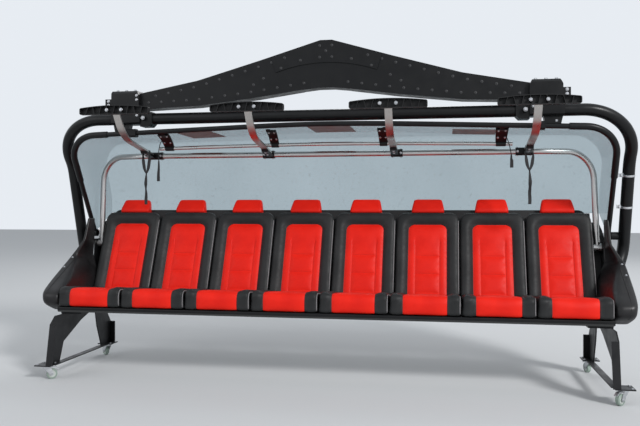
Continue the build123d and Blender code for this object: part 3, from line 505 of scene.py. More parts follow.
def profile_curve(stops, step):
    """Smooth line through side-view points, with its outward normals."""
    knots = [np.array(p) for p in stops]
    line = []
    for i in range(len(knots) - 1):
        line += curve_points(knots, i, max(1, round(float(np.linalg.norm(knots[i + 1] - knots[i])) / step)))
    line.append(knots[-1])
    normals = []
    for i in range(len(line)):
        along = line[min(i + 1, len(line) - 1)] - line[max(i - 1, 0)]
        along = along / np.linalg.norm(along)
        normals.append(np.array((-along[1], along[0])))
    return line, normals


def spread(stops, step):
    """Values through all the stops with gaps of about a step."""
    values = [stops[0]]
    for a, b in zip(stops, stops[1:]):
        count = max(1, round((b - a) / step))
        values += [a + (b - a) * (i + 1) / count for i in range(count)]
    return values


def middles(values):
    """Distance from zero of the middle of each gap."""
    return [0.5 * (abs(a) + abs(b)) for a, b in zip(values, values[1:])]


def ease(t):
    t = min(max(t, 0.0), 1.0)
    return t * t * (3 - 2 * t)


def roll(inside, radius):
    """Drop of a rounded edge, a distance inside the outline."""
    t = max(radius - inside, 0.0)
    return math.sqrt(max(radius * radius - t * t, 0.0)) - radius


def corner_half(v, half, top, radius):
    """Half width of an outline with rounded upper corners, at height v."""
    over = min(max(v - (top - radius), 0.0), radius)
    return half - radius + math.sqrt(max(radius * radius - over * over, 0.0))


def rounded_distance(u, v, half, top, radius):
    """Distance outside an outline with rounded upper corners and no foot; negative inside."""
    a, b = abs(u) - (half - radius), v - (top - radius)
    return math.hypot(max(a, 0.0), max(b, 0.0)) + min(max(a, b), 0.0) - radius


def puff(obj, held, pressure, cap, frames=20):
    """Blow the mesh up a little as cloth, with some points held, and keep the result."""
    group = obj.vertex_groups.new(name="held")
    group.add([int(i) for i in held], 1.0, "REPLACE")
    cloth = obj.modifiers.new("cloth", "CLOTH")
    settings = cloth.settings
    settings.vertex_group_mass = "held"
    settings.quality = 6
    settings.mass = 0.3
    settings.tension_stiffness = 12
    settings.compression_stiffness = 12
    settings.shear_stiffness = 6
    settings.bending_stiffness = 0.4
    settings.use_pressure = True
    settings.uniform_pressure_force = pressure
    settings.effector_weights.gravity = 0
    for number in range(1, frames + 1):
        scene.frame_set(number)
    shape = obj.evaluated_get(bpy.context.evaluated_depsgraph_get()).to_mesh()
    size = len(obj.data.vertices) * 3
    start, end = np.zeros(size), np.zeros(size)
    obj.data.vertices.foreach_get("co", start)
    shape.vertices.foreach_get("co", end)
    move = (end - start).reshape(-1, 3)
    length = np.linalg.norm(move, axis=1, keepdims=True)
    move *= np.minimum(1.0, cap / np.maximum(length, 1e-9))
    obj.modifiers.remove(cloth)
    obj.vertex_groups.remove(group)
    obj.data.vertices.foreach_set("co", (start.reshape(-1, 3) + move).ravel())
    obj.data.update()
    scene.frame_set(1)


# Seats: edges, seams and pressures shared by backs and cushions
EDGE_ROLL = 0.026
RIM_STOPS = (0.228, 0.240, 0.248, 0.2525)
EDGE_STEP = 0.004
CROSS_DIP = 0.0035
PRESSURE = 3.0
SAME = 1e-6


def seat_columns(stops, insert_half):
    """Places across a seat, closer together at the seams and the rim."""
    inner = spread([0.0, *stops, insert_half - EDGE_STEP, insert_half], 0.016)
    half = inner + spread([insert_half + EDGE_STEP, *RIM_STOPS, SEAT_HALF], 0.014)
    return [-c for c in half[:0:-1]] + half


# Seat backs
BACK_HEIGHT = 0.712
BACK_START = (0.565, 0.634)
BACK_RINGS = (-0.060, -0.0895)
SHOULDER = 0.070
INSERT_HALF = 0.1555
INSERT_TOP = 0.608
INSERT_CORNER = 0.048
INSERT_LEVEL = -0.024
INSERT_DIP = 0.004
BOLSTER_RISE = 0.030
SEAM_HALF = 0.097
SEAM_STEP = 0.005
SEAM_ROWS = (0.022, 0.180, 0.333)
SEAM_TOP = 0.470
SEAM_FLARE = 0.018
FLARE_START = 0.40
TOP_STOPS = (0.686, 0.698, 0.706, 0.7105, BACK_HEIGHT)


def on_back(x, u, v, w):
    """Point on a seat back: u along the bench, v up the back, w out of its front."""
    y = BACK_START[0] + v * math.sin(RECLINE) - w * math.cos(RECLINE)
    z = BACK_START[1] + v * math.cos(RECLINE) + w * math.sin(RECLINE)
    return at(x + u, y, z)


def back_surface(u, v):
    outer = -rounded_distance(u, v, SEAT_HALF, BACK_HEIGHT, SHOULDER)
    from_insert = rounded_distance(u, v, INSERT_HALF, INSERT_TOP, INSERT_CORNER)
    if from_insert > 0:
        w = INSERT_LEVEL - 0.005 + BOLSTER_RISE * ease(from_insert / 0.060 + 0.12)
    else:
        w = INSERT_LEVEL + 0.004 * ease(-from_insert / 0.03) - 0.003
    return w + roll(outer, EDGE_ROLL) + 0.4 * roll(max(v, 0.0) + 0.002, 0.02)


def make_backs():
    columns = seat_columns((SEAM_HALF - SEAM_STEP, SEAM_HALF, SEAM_HALF + SEAM_STEP), INSERT_HALF)
    stops = [0.0, 0.004, 0.010]
    for row in SEAM_ROWS:
        stops += [row - EDGE_STEP, row, row + EDGE_STEP]
    stops += [INSERT_TOP - out for out in (INSERT_CORNER, 0.02, 0.006, 0.0, -0.006)]
    stops += [BACK_HEIGHT - SHOULDER + 0.01, *TOP_STOPS]
    rows = spread(sorted(set(stops)), 0.017)
    front, held = [], []
    for r, v in enumerate(rows):
        border = corner_half(v, INSERT_HALF, INSERT_TOP, INSERT_CORNER)
        rim = corner_half(v, SEAT_HALF, BACK_HEIGHT, SHOULDER)
        line = []
        for c, column in enumerate(columns):
            size = abs(column)
            if size <= INSERT_HALF:
                u = size * border / INSERT_HALF
            else:
                u = border + (size - INSERT_HALF) * (rim - border) / (SEAT_HALF - INSERT_HALF)
            u = math.copysign(u, column)
            w = back_surface(u, v)
            seam = abs(size - SEAM_HALF) < SAME and v < SEAM_TOP
            crossing = size <= SEAM_HALF + SAME and any(abs(v - s) < SAME for s in SEAM_ROWS)
            edge = (abs(size - INSERT_HALF) < SAME and v <= INSERT_TOP) or (
                abs(v - INSERT_TOP) < SAME and size <= INSERT_HALF)
            if seam:
                w -= INSERT_DIP
                u += math.copysign(SEAM_FLARE * ease((v - FLARE_START) / 0.08), u)
            if crossing:
                w -= CROSS_DIP
            if edge:
                w -= INSERT_DIP
            if seam or crossing or edge or r == 0:
                held.append(r * len(columns) + c)
            line.append(Vector((u, v, w)))
        front.append(line)
    points, faces = closed_grid(front, [lambda p, w=w: Vector((p.x, p.y, w)) for w in BACK_RINGS])
    colours = [0 if u < INSERT_HALF and v < INSERT_TOP else 1
               for v in middles(rows) for u in middles(columns)]
    colours += [1] * (len(faces) - len(colours))
    held += list(range(len(rows) * len(columns), len(points)))
    world = [on_back(0.0, *p) for p in points]
    first = add_piece("seat_back_soft_1", world, faces, [RED, DARK], None, slots=colours)
    puff(first, held, PRESSURE, 0.007)
    make_finer(first)
    return first


# Cushions, with their side view as (depth, height) from the underside round the nose to the rear
CUSHION_INSERT_HALF = 0.158
CUSHION_FLOOR = 0.5433
CUSHION_REAR = 0.545
CUSHION_PROFILE = ((0.030, 0.5432), (0.012, 0.5480), (0.0045, 0.562), (0.0035, 0.600), (0.0055, 0.640),
                   (0.011, 0.662), (0.022, 0.679), (0.040, 0.6885), (0.062, 0.6905), (0.100, 0.6865),
                   (0.180, 0.6765), (0.300, 0.6615), (0.420, 0.6465), (0.500, 0.6365), (0.530, 0.631),
                   (0.545, 0.620), (0.551, 0.604), (0.552, 0.580))
CUSHION_SEAMS = (0.150, 0.340)
CUSHION_RISE = 0.018
NOSE_INSET = 0.007


def cushion_lift(p, out):
    """Height of a cushion's surface over its side view, a distance outside the insert."""
    if out > 0:
        lift = CUSHION_RISE * ease(out / 0.05) - 0.002
    else:
        lift = 0.003 * ease(-out / 0.03) - 0.003
    if p[0] < 0.05 and p[1] < 0.66:
        lift -= NOSE_INSET * ease(out / 0.06)
    return lift


def make_cushions():
    columns = seat_columns((), CUSHION_INSERT_HALF)
    line, normals = profile_curve(CUSHION_PROFILE, 0.016)
    seam_rows = [min(range(len(line)), key=lambda i: abs(line[i][0] - s) + (9 if line[i][1] < 0.6 else 0))
                 for s in CUSHION_SEAMS]
    points, held = [], []
    for r, (p, n) in enumerate(zip(line, normals)):
        for c, u in enumerate(columns):
            out = abs(u) - CUSHION_INSERT_HALF
            lift = cushion_lift(p, out)
            seam = abs(out) < SAME or (r in seam_rows and out <= 0)
            if seam:
                lift -= CROSS_DIP
            lift += roll(SEAT_HALF - abs(u), EDGE_ROLL)
            if seam or r in (0, len(line) - 1):
                held.append(r * len(columns) + c)
            q = p + n * lift
            points.append(at(u, q[0], max(q[1], CUSHION_FLOOR)))
    rows, cols = len(line), len(columns)
    faces = grid_faces(rows, cols)
    colours = [0 if u < CUSHION_INSERT_HALF else 1 for _ in line[1:] for u in middles(columns)]
    # Underside, then one wall at each end
    start = len(points)
    points += [at(u, CUSHION_REAR, CUSHION_FLOOR) for u in columns]
    held += list(range(start, start + cols))
    last = (rows - 1) * cols
    for c in range(cols - 1):
        faces.append((last + c, last + c + 1, start + c + 1, start + c))
        faces.append((start + c, start + c + 1, c + 1, c))
    faces.append(tuple([r * cols for r in range(rows)] + [start]))
    faces.append(tuple([start + cols - 1] + [r * cols + cols - 1 for r in range(rows - 1, -1, -1)]))
    colours += [1] * (len(faces) - len(colours))
    first = add_piece("seat_cushion_soft_1", points, faces, [RED, DARK], None, slots=colours)
    puff(first, held, PRESSURE, 0.006)
    make_finer(first)
    return first


# Headrests: rows as (height, half width, drop), columns as shares of the half width, rings as (depth, share)
HEADREST_ROWS = ((0.000, 0.1290, 0.022), (0.004, 0.1325, 0.008), (0.016, 0.1350, 0.001),
                 (0.034, 0.1345, 0.0), (0.048, 0.1325, 0.003), (0.070, 0.1285, 0.008),
                 (0.092, 0.1240, 0.012), (0.112, 0.1195, 0.016), (0.126, 0.1150, 0.022),
                 (0.133, 0.1080, 0.034), (0.134, 0.1010, 0.045))
HEADREST_SHARES = (0.25, 0.5, 0.7, 0.86, 0.94, 0.985, 1.0)
HEADREST_COLUMNS = [-t for t in HEADREST_SHARES[::-1]] + [0.0, *HEADREST_SHARES]
HEADREST_RINGS = ((-0.070, 1.0), (-0.0858, 0.965))
HEADREST_FRONT = -0.0105
HEADREST_FOOT = BACK_HEIGHT + 0.0006
HEADREST_ROLL = 0.020


def make_headrests():
    front = []
    for v, half, drop in HEADREST_ROWS:
        levels = [HEADREST_FRONT - drop + roll((1 - abs(t)) * half, HEADREST_ROLL) for t in HEADREST_COLUMNS]
        front.append([Vector((t * half, HEADREST_FOOT + v, w)) for t, w in zip(HEADREST_COLUMNS, levels)])
    rings = [lambda p, w=w, grow=grow: Vector((p.x * grow, p.y, w)) for w, grow in HEADREST_RINGS]
    points, faces = closed_grid(front, rings)
    world = [on_back(0.0, *p) for p in points]
    return add_piece("headrest_soft_1", world, faces, [RED], None, fine=True)


def on_seats(first, stem, fine):
    """A piece made for the first seat and its copies for the others, put in their places."""
    made = []
    for number, x in enumerate(SEAT_XS, start=1):
        obj = first
        if number > 1:
            obj = place_object(f"{stem}_{number}", first.data)
            if fine:
                make_finer(obj)
        obj.location = (x, 0, 0)
        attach(obj, "chair")
        made.append(obj)
    return made


def repeat_seats(first, stem, node_names):
    """Put a soft piece on every seat, each standing for its own CAD node."""
    for number, obj in enumerate(on_seats(first, stem, True), start=1):
        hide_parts(node_names(number))


# Piping only on each seat's right edge, the side the light falls on: real piping and a painted highlight
PIPING_RADIUS = 0.0042
PIPING_EDGE = SEAT_HALF - 0.006
BACK_PIPING_LEVEL = -0.0130
CUSHION_PIPING_LEVEL = -0.0085


def make_piping_highlight():
    """Light grey piping along the right edge only of each back and cushion: real piping, and a painted
    highlight of the edge the light falls on.
    """
    line, normals = profile_curve(CUSHION_PROFILE[2:-3], 0.02)
    low = [p + n * CUSHION_PIPING_LEVEL for p, n in zip(line, normals)]
    for number, x in enumerate(SEAT_XS, start=1):
        runs = ([on_back(x, PIPING_EDGE, v, BACK_PIPING_LEVEL) for v in np.linspace(0.015, 0.638, 24)],
                [at(x + PIPING_EDGE, *p) for p in low])
        points, faces = joined([tube(run, PIPING_RADIUS, 6) for run in runs])
        add_piece(f"seat_piping_highlight_{number}", points, faces, [LIT_EDGE_PIPING], "chair")


# Fasteners: rings as (radius, height) for a thread of one metre
WASHER_RINGS = ((1.05, -0.2), (1.1, 0.1), (1.02, 0.17))
HEX_RINGS = ((0.87, 0.1), (0.87, 0.66), (0.74, 0.8))
DOME_RINGS = ((1.0, -0.2), (1.0, 0.1), (0.84, 0.14), (0.78, 0.4), (0.56, 0.56), (0.36, 0.6), (0.3, 0.3))
HEX_TURN = 0.3


def scaled(rings, size):
    return [(radius * size, height * size) for radius, height in rings]


def hex_bolt(place, out, size):
    """Washer and chamfered hexagon head of a bolt with that thread."""
    return [turned(scaled(WASHER_RINGS, size), place, out, 16),
            turned(scaled(HEX_RINGS, size), place, out, 6, HEX_TURN)]


# Beam edges repeated from the frame as (x, height), from the apex to the end
BEAM_TOP = ((0.046, 2.640), (0.520, 2.500), (1.050, 2.352), (1.600, 2.250))
BEAM_BOTTOM = ((0.060, 2.266), (0.190, 2.252), (0.560, 2.200), (1.050, 2.146), (1.600, 2.126))
BEAM_MIDDLE = 0.412
BEAM_HALF_DEPTH = 0.056
DOUBLER_PROUD = 0.008
DOUBLER_END = 0.437
BEAM_BOLT = 0.0115
BEAM_BOLT_PITCH = 0.108
# Bolts at the apex and in the arch, with whether they sit on the doubler
APEX_BOLTS = ((0.048, 2.594, True), (0.048, 2.503, True), (0.0, 2.552, True), (0.202, 2.484, True),
              (0.358, 2.427, True), (0.585, 2.304, False), (0.503, 2.352, False))
# Rows along the edges: edge, first place, count, and distance from the edge
BEAM_ROWS = ((BEAM_TOP, 0.330, 11, -0.048), (BEAM_BOTTOM, 0.175, 13, 0.052))


def beam_bolts():
    """Rows of domed bolts along both edges of the beam, and the group at the apex, on both faces."""
    places = list(APEX_BOLTS)
    for edge, start, count, inset in BEAM_ROWS:
        xs, zs = zip(*edge)
        for i in range(count):
            x = start + i * BEAM_BOLT_PITCH
            places.append((x, np.interp(x, xs, zs) + inset, edge is BEAM_TOP and x < DOUBLER_END))
    parts = []
    for x, z, on_doubler in places:
        out = BEAM_HALF_DEPTH + (DOUBLER_PROUD if on_doubler else 0.0)
        for side in ((-1, 1) if x else (1,)):
            for face in (-1, 1):
                place = at(side * x, BEAM_MIDDLE + face * out, z)
                parts.append(turned(scaled(DOME_RINGS, BEAM_BOLT), place, (0, face, 0), 12))
    add_parts("beam_bolts", parts, DARK_BOLT, "chair")


HOUSING_X = 1.660
HOUSING_TOP = 2.280
HOUSING_FRONT = 0.317
HOUSING_BOLT_STEP = 0.075
HOUSING_BOLT_ROW = 0.060
# Bolts that face forward as (x, depth, height, thread): lugs, knob, stop and clamp, then the left one's own
HOUSING_FRONT_BOLTS = ((1.807, 0.323, 2.197, 0.012), (1.807, 0.323, 2.165, 0.012),
                       (1.512, 0.330, 2.057, 0.015), (1.740, 0.374, 1.974, 0.009),
                       (1.570, 0.344, 2.082, 0.011))
LEFT_BOLTS = ((-1.560, HOUSING_FRONT, 2.240, 0.010), (-1.560, HOUSING_FRONT, 2.205, 0.010))


def housing_bolts():
    """Bolts on the housings' tops, lugs, knobs and rubber stops."""
    parts = []
    for side in (-1, 1):
        for step in (-1, 0, 1):
            for row in (-1, 1):
                x = side * (HOUSING_X + HOUSING_BOLT_STEP * step)
                parts += hex_bolt(at(x, BEAM_MIDDLE + HOUSING_BOLT_ROW * row, HOUSING_TOP), UP, 0.014)
        for x, y, z, size in HOUSING_FRONT_BOLTS:
            parts += hex_bolt(at(side * x, y, z), FRONT, size)
    for x, y, z, size in LEFT_BOLTS:
        parts += hex_bolt(at(x, y, z), FRONT, size)
    add_parts("housing_bolts", parts, BOLT, "chair")


# Footrest fittings repeated from the frame: place in seat pitches and the clamp's edges from the arm's middle
FOOTRESTS = ((-3, -0.090, 0.040), (-1, -0.034, 0.062), (1, -0.034, 0.062), (3, -0.090, 0.040))
PAD_FRONT = -0.095
PAD_BACK_WALL = -0.067
PAD_DEPTH = PAD_BACK_WALL - PAD_FRONT
PAD_HEIGHT = 2.066
PAD_BOLT_REACH = 0.058
PAD_BOSS = ((0.0155, -0.002), (0.0145, PAD_DEPTH - 0.003), (0.013, PAD_DEPTH - 0.001))
BAR_DEPTH = 0.668
BAR_HEIGHT = 1.770
CLAMP_HALF = 0.030
CLAMP_BOLT_INSET = 0.014
WIDE_CLAMP = 0.040
ARM_SLOPE = -0.1715
ARM_NORMAL = Vector((0, -ARM_SLOPE, 1)).normalized()
ARM_BOLT_DEPTHS = (0.500, 0.560)
ARM_FACE = 0.007
TONGUE_FACE = 0.0245


def arm_height(y):
    """Height of the arm's middle plane behind its knee, at a depth."""
    return 1.872 + ARM_SLOPE * (y - 0.070)


def footrest_fittings():
    """Bosses and bolts in the pads, and bolts through the arms' ends and the bar clamps."""
    bosses, bolts = [], []
    for pitches, inner, outer in FOOTRESTS:
        x = pitches * SEAT_PITCH
        side = math.copysign(1, x)
        for reach in (-PAD_BOLT_REACH, PAD_BOLT_REACH):
            bosses.append(turned(PAD_BOSS, at(x + reach, PAD_BACK_WALL, PAD_HEIGHT), FRONT, 20))
            bolts += hex_bolt(at(x + reach, PAD_FRONT + 0.001, PAD_HEIGHT), FRONT, 0.012)
        for y in ARM_BOLT_DEPTHS:
            middle = at(x, y, arm_height(y))
            bolts += hex_bolt(middle + ARM_NORMAL * ARM_FACE, ARM_NORMAL, 0.010)
            bolts += hex_bolt(middle - ARM_NORMAL * TONGUE_FACE, -ARM_NORMAL, 0.010)
        for edge in (inner + CLAMP_BOLT_INSET, outer - CLAMP_BOLT_INSET):
            clamp_x = x + side * edge
            for up in (-1, 1):
                bolts += hex_bolt(at(clamp_x, BAR_DEPTH, BAR_HEIGHT + up * CLAMP_HALF), (0, 0, up), 0.008)
            if abs(edge) > WIDE_CLAMP:
                bolts += hex_bolt(at(clamp_x, BAR_DEPTH - CLAMP_HALF, BAR_HEIGHT), FRONT, 0.009)
    add_parts("footrest_bosses", bosses, PAD, "restraint")
    add_parts("footrest_bolts", bolts, BOLT, "restraint")


# Band clamps on the right side of the main tube
MAIN_X = 2.333
MAIN_RADIUS = 0.046
TUBE_LEAN = Vector((0, -0.268, 0.963)).normalized()
BAND_PLACES = ((0.7395, 1.580), (0.807, 1.335))
BAND_RINGS = ((MAIN_RADIUS + 0.0015, -0.008), (MAIN_RADIUS + 0.003, -0.0065),
              (MAIN_RADIUS + 0.003, 0.0065), (MAIN_RADIUS + 0.0015, 0.008))
LUG_PLACE = Vector((-MAIN_RADIUS - 0.010, -0.014, 0))
LUG_HALF = Vector((0.020, 0.005, 0.015))


def band_clamps():
    bands, bolts = [], []
    for y, z in BAND_PLACES:
        centre = at(MAIN_X, y, z)
        lug = centre + LUG_PLACE
        bands += [turned(BAND_RINGS, centre, TUBE_LEAN, 32), box_part(lug, LUG_HALF)]
        for out in (FRONT, REAR):
            bolts += hex_bolt(lug + out * LUG_HALF.y, out, 0.013)
    add_parts("band_clamps", bands, ZINC, "chair")
    add_parts("band_bolts", bolts, BOLT, "chair")


# Castors: hub discs with small screws, axle nuts and the bolts of the plates
CASTOR_TRAIL = 0.040
CASTOR_RADIUS = 0.040
CASTOR_TURNS = {"front_left": (-2.105, -0.110, 35.0), "front_right": (2.105, -0.110, 225.0),
                "rear_left": (-2.065, 0.835, 140.0), "rear_right": (2.065, 0.835, 108.0)}
HUB_RINGS = ((0.0272, -0.001), (0.0272, 0.0008), (0.025, 0.0016), (0.019, 0.0006), (0.014, 0.0008),
             (0.0122, 0.0018))
SCREW_RINGS = ((0.0028, 0.0), (0.0028, 0.0014), (0.002, 0.0022))
NUT_RINGS = ((0.0085, -0.001), (0.0085, 0.0035), (0.0072, 0.0048))
HUB_OUT = 0.012
SCREW_OUT = 0.0125
SCREW_COUNT = 5
SCREW_CIRCLE = 0.0205
NUT_OUT = 0.023
PLATE_TOP = 0.116
PLATE_BOLT_REACH = 0.046


def castor_fittings():
    plate_bolts = []
    for name, (x, y, degrees) in CASTOR_TURNS.items():
        angle = math.radians(degrees)
        along = Vector((math.cos(angle), math.sin(angle), 0))
        across = Vector((-math.sin(angle), math.cos(angle), 0))
        centre = at(x, y, CASTOR_RADIUS) + along * CASTOR_TRAIL
        discs, nuts = [], []
        for face in (-1, 1):
            out = across * face
            discs.append(turned(HUB_RINGS, centre + out * HUB_OUT, out, 28))
            for k in range(SCREW_COUNT):
                spin = 2 * math.pi * k / SCREW_COUNT
                spoke = math.cos(spin) * along + math.sin(spin) * UP
                discs.append(turned(SCREW_RINGS, centre + out * SCREW_OUT + SCREW_CIRCLE * spoke, out, 10))
            nuts.append(turned(NUT_RINGS, centre + out * NUT_OUT, out, 6))
        add_parts(f"castor_hub_{name}", discs, HUB, f"wheel_{name}")
        add_parts(f"castor_nuts_{name}", nuts, BOLT, f"castor_{name}")
        for dx in (-PLATE_BOLT_REACH, PLATE_BOLT_REACH):
            for dy in (-PLATE_BOLT_REACH, PLATE_BOLT_REACH):
                plate_bolts += hex_bolt(at(x + dx, y + dy, PLATE_TOP), UP, 0.009)
    add_parts("castor_plate_bolts", plate_bolts, BOLT, "chair")


# Front rail: a lighter lip along its lower edge, its section as (depth, height)
LIP_HALF = 2.070
LIP_SECTION = ((0.0008, 0.5050), (0.0008, 0.5190), (0.0034, 0.5190), (0.0034, 0.5074), (0.040, 0.5074),
               (0.040, 0.5050))


def front_lip():
    points = [at(x, y, z) for x in (-LIP_HALF, LIP_HALF) for y, z in LIP_SECTION]
    add_parts("front_rail_lip", [(points, loft_faces(2, len(LIP_SECTION)))], RAIL_LIP, "chair")


# Blank labels under the roof as (middle, half width, front depth, rear depth)
LABELS = ((-1.128, 0.148, 0.430, 0.900), (0.0, 0.174, 0.430, 0.900), (1.155, 0.175, 0.630, 1.000))
LABEL_DROPS = (0.0004, 0.0022)
ROOF_PEAK = 1.985
ROOF_FALL = 0.0321
ROOF_BOW = 15.0


def roof_inside(x):
    """Height of the sheet's inner face under the roof."""
    size = abs(x)
    if size > ROOF_BOW * ROOF_FALL:
        return ROOF_PEAK - ROOF_FALL * size
    return ROOF_PEAK - 0.5 * ROOF_BOW * ROOF_FALL ** 2 - size * size / (2 * ROOF_BOW)


def make_labels():
    parts = []
    for x, half, front, rear in LABELS:
        columns = np.linspace(x - half, x + half, 9)
        points = [at(c, y, roof_inside(c) - drop)
                  for drop in LABEL_DROPS for c in columns for y in (front, rear)]
        count = 2 * len(columns)
        faces = []
        for a in range(0, count - 2, 2):
            faces.append((a, a + 1, a + 3, a + 2))
            faces.append((count + a, count + a + 2, count + a + 3, count + a + 1))
            faces.append((a, a + 2, count + a + 2, count + a))
            faces.append((a + 1, count + a + 1, count + a + 3, a + 3))
        faces.append((0, count, count + 1, 1))
        faces.append((count - 2, count - 1, 2 * count - 1, 2 * count - 2))
        parts.append((points, faces))
    add_parts("roof_labels", parts, LABEL, "bubble")


# Hanging straps: a loop over each outer arm, tied below it, and its tail
STRAP_X = 1.562
STRAP_DEPTH = 0.520
STRAP_HALF = 0.013
STRAP_THICKNESS = 0.0016
STRAP_TOP = arm_height(STRAP_DEPTH) + 0.010
STRAP_LOW = STRAP_TOP - 0.038
STRAP_TIE = 1.612
STRAP_END = 1.352
# Right half of the loop over the arm as (sideways, height above the top)
LOOP_OVER = ((0.010, 0.0045), (0.0285, 0.002), (0.0300, -0.010), (0.0295, -0.038))
# One side of the loop, then the tail, as (sideways, height, half width, turn in degrees)
LOOP_SIDE = ((0.0295, STRAP_LOW, 0.013, 90), (0.028, 1.735, 0.013, 60), (0.024, 1.700, 0.013, 25),
             (0.018, 1.660, 0.0125, 10), (0.009, 1.630, 0.009, 8), (0.002, STRAP_TIE, 0.004, 5))
STRAP_TAIL = ((0.0, STRAP_TIE + 0.004, 0.004, 15), (0.002, 1.580, 0.009, 25), (0.005, 1.530, 0.0130, 5),
              (0.004, 1.485, 0.012, -35), (0.001, 1.440, 0.012, -10), (0.003, 1.390, 0.0130, 12),
              (0.002, STRAP_END, 0.0125, 5))
TIE_RINGS = ((0.004, -0.007), (0.0065, -0.005), (0.0065, 0.005), (0.004, 0.007))


def strap_run(stops, x, hand):
    """Strap along stops of (sideways, height, half width, turn in degrees), towards one hand."""
    line = []
    for sideways, z, half, turn in smooth_line([(hand * s, *rest) for s, *rest in stops], 7):
        angle = math.radians(turn)
        line.append((at(x + sideways, STRAP_DEPTH, z),
                     Vector((half * math.cos(angle), half * math.sin(angle), 0))))
    return ribbon(line, STRAP_THICKNESS)


def make_straps():
    over = [(-s, STRAP_TOP + z) for s, z in LOOP_OVER[::-1]] + [(s, STRAP_TOP + z) for s, z in LOOP_OVER]
    for name, side in SIDES.items():
        x = side * STRAP_X
        half = Vector((0, STRAP_HALF, 0))
        line = [(at(x + s, STRAP_DEPTH, z), half) for s, z in smooth_line(over, 4)]
        parts = [ribbon(line, STRAP_THICKNESS), strap_run(LOOP_SIDE, x, -1), strap_run(LOOP_SIDE, x, 1),
                 strap_run(STRAP_TAIL, x, side),
                 turned(TIE_RINGS, at(x, STRAP_DEPTH, STRAP_TIE + 0.002), UP, 12)]
        strap = add_parts(f"hanging_strap_{name}", parts, STRAP, "restraint")
        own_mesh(strap)


# Pull tabs: the tape's route from the handle bracket as (x, depth, height), and the tab's lower end
PULL_TABS = {"left": (((-1.362, 0.436, 1.893), (-1.405, 0.452, 1.868), (-1.430, 0.470, 1.800),
                       (-1.433, 0.476, 1.715)), 1.545),
             "right": (((1.362, 0.436, 1.893), (1.385, 0.452, 1.862), (1.408, 0.470, 1.800),
                        (1.422, 0.476, 1.730)), 1.632)}
TAPE_HALF = 0.0035
TAPE_THICKNESS = 0.0014
TAB_THICKNESS = 0.0034
TAB_LEAN = 0.003


def make_pull_tabs():
    """A thin tape from each outer handle bracket that ends in a wider pull tab."""
    for name, (route, end) in PULL_TABS.items():
        tape = [(at(*p), Vector((TAPE_HALF, 0, 0))) for p in smooth_line(route, 6)]
        x, y, z = route[-1]
        lean = x + math.copysign(TAB_LEAN, x)
        stops = ((x, z, 0.0055), (x, 0.65 * z + 0.35 * end, 0.0090), (lean, end + 0.060, 0.0115),
                 (lean, end + 0.010, 0.0130), (lean, end, 0.0125))
        tab = [(at(a, y, b), Vector((half, 0, 0))) for a, b, half in smooth_line(stops, 5)]
        parts = [ribbon(tape, TAPE_THICKNESS), ribbon(tab, TAB_THICKNESS)]
        strap = add_parts(f"pull_tab_{name}", parts, STRAP, "bubble")
        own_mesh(strap)


# Stitching
STITCH_PITCH = 0.0075
STITCH_RADIUS = 0.0006
STITCH_SHARE = 0.3
STITCH_OUT = 0.0065
STITCH_IN = 0.006
STITCH_FOOT = 0.03
STITCH_LOW = 0.57
STITCH_BACK = 0.54
SEAM_STITCH_STOPS = ((0.006, STITCH_FOOT), (0.006, 0.400), (0.020, 0.462))


def surface_tree(obj):
    """Search tree over a piece's finished surface."""
    finished = obj.evaluated_get(bpy.context.evaluated_depsgraph_get())
    shape = finished.to_mesh()
    tree = BVHTree.FromPolygons([v.co.copy() for v in shape.vertices],
                                [tuple(p.vertices) for p in shape.polygons])
    finished.to_mesh_clear()
    return tree


def stitch_row(tree, line):
    """Short threads along a line of (point, outward normal), laid on a surface."""
    hits = []
    for p, n in line:
        place = tree.ray_cast(p + n * 0.04, -n)[0]
        if place is not None:
            hits.append(place + n * 0.0002)
    parts = []
    for a, b in zip(hits, hits[1:]):
        if (b - a).length < 2 * STITCH_PITCH:
            middle, half = (a + b) / 2, (b - a) * STITCH_SHARE
            parts.append(tube([middle - half, middle + half], STITCH_RADIUS, 4))
    return parts


def even(points, pitch):
    """Points at an even pitch along a line of flat points."""
    line = [np.array(p, float) for p in points]
    lengths = [0.0]
    for a, b in zip(line, line[1:]):
        lengths.append(lengths[-1] + float(np.linalg.norm(b - a)))
    steps = np.arange(0.0, lengths[-1], pitch)
    return [tuple(np.interp(s, lengths, [p[i] for p in line]) for i in range(len(line[0]))) for s in steps]


def insert_outline(offset):
    """Outline at a distance outside the back's insert, from the lower left corner to the lower right."""
    half, top, radius = INSERT_HALF + offset, INSERT_TOP + offset, INSERT_CORNER + offset
    points = [(-half, STITCH_FOOT), (-half, top - radius)]
    points += [(-half + radius - radius * math.cos(a), top - radius + radius * math.sin(a))
               for a in np.linspace(0, math.pi / 2, 9)[1:]]
    return points + [(-u, v) for u, v in points[::-1]]


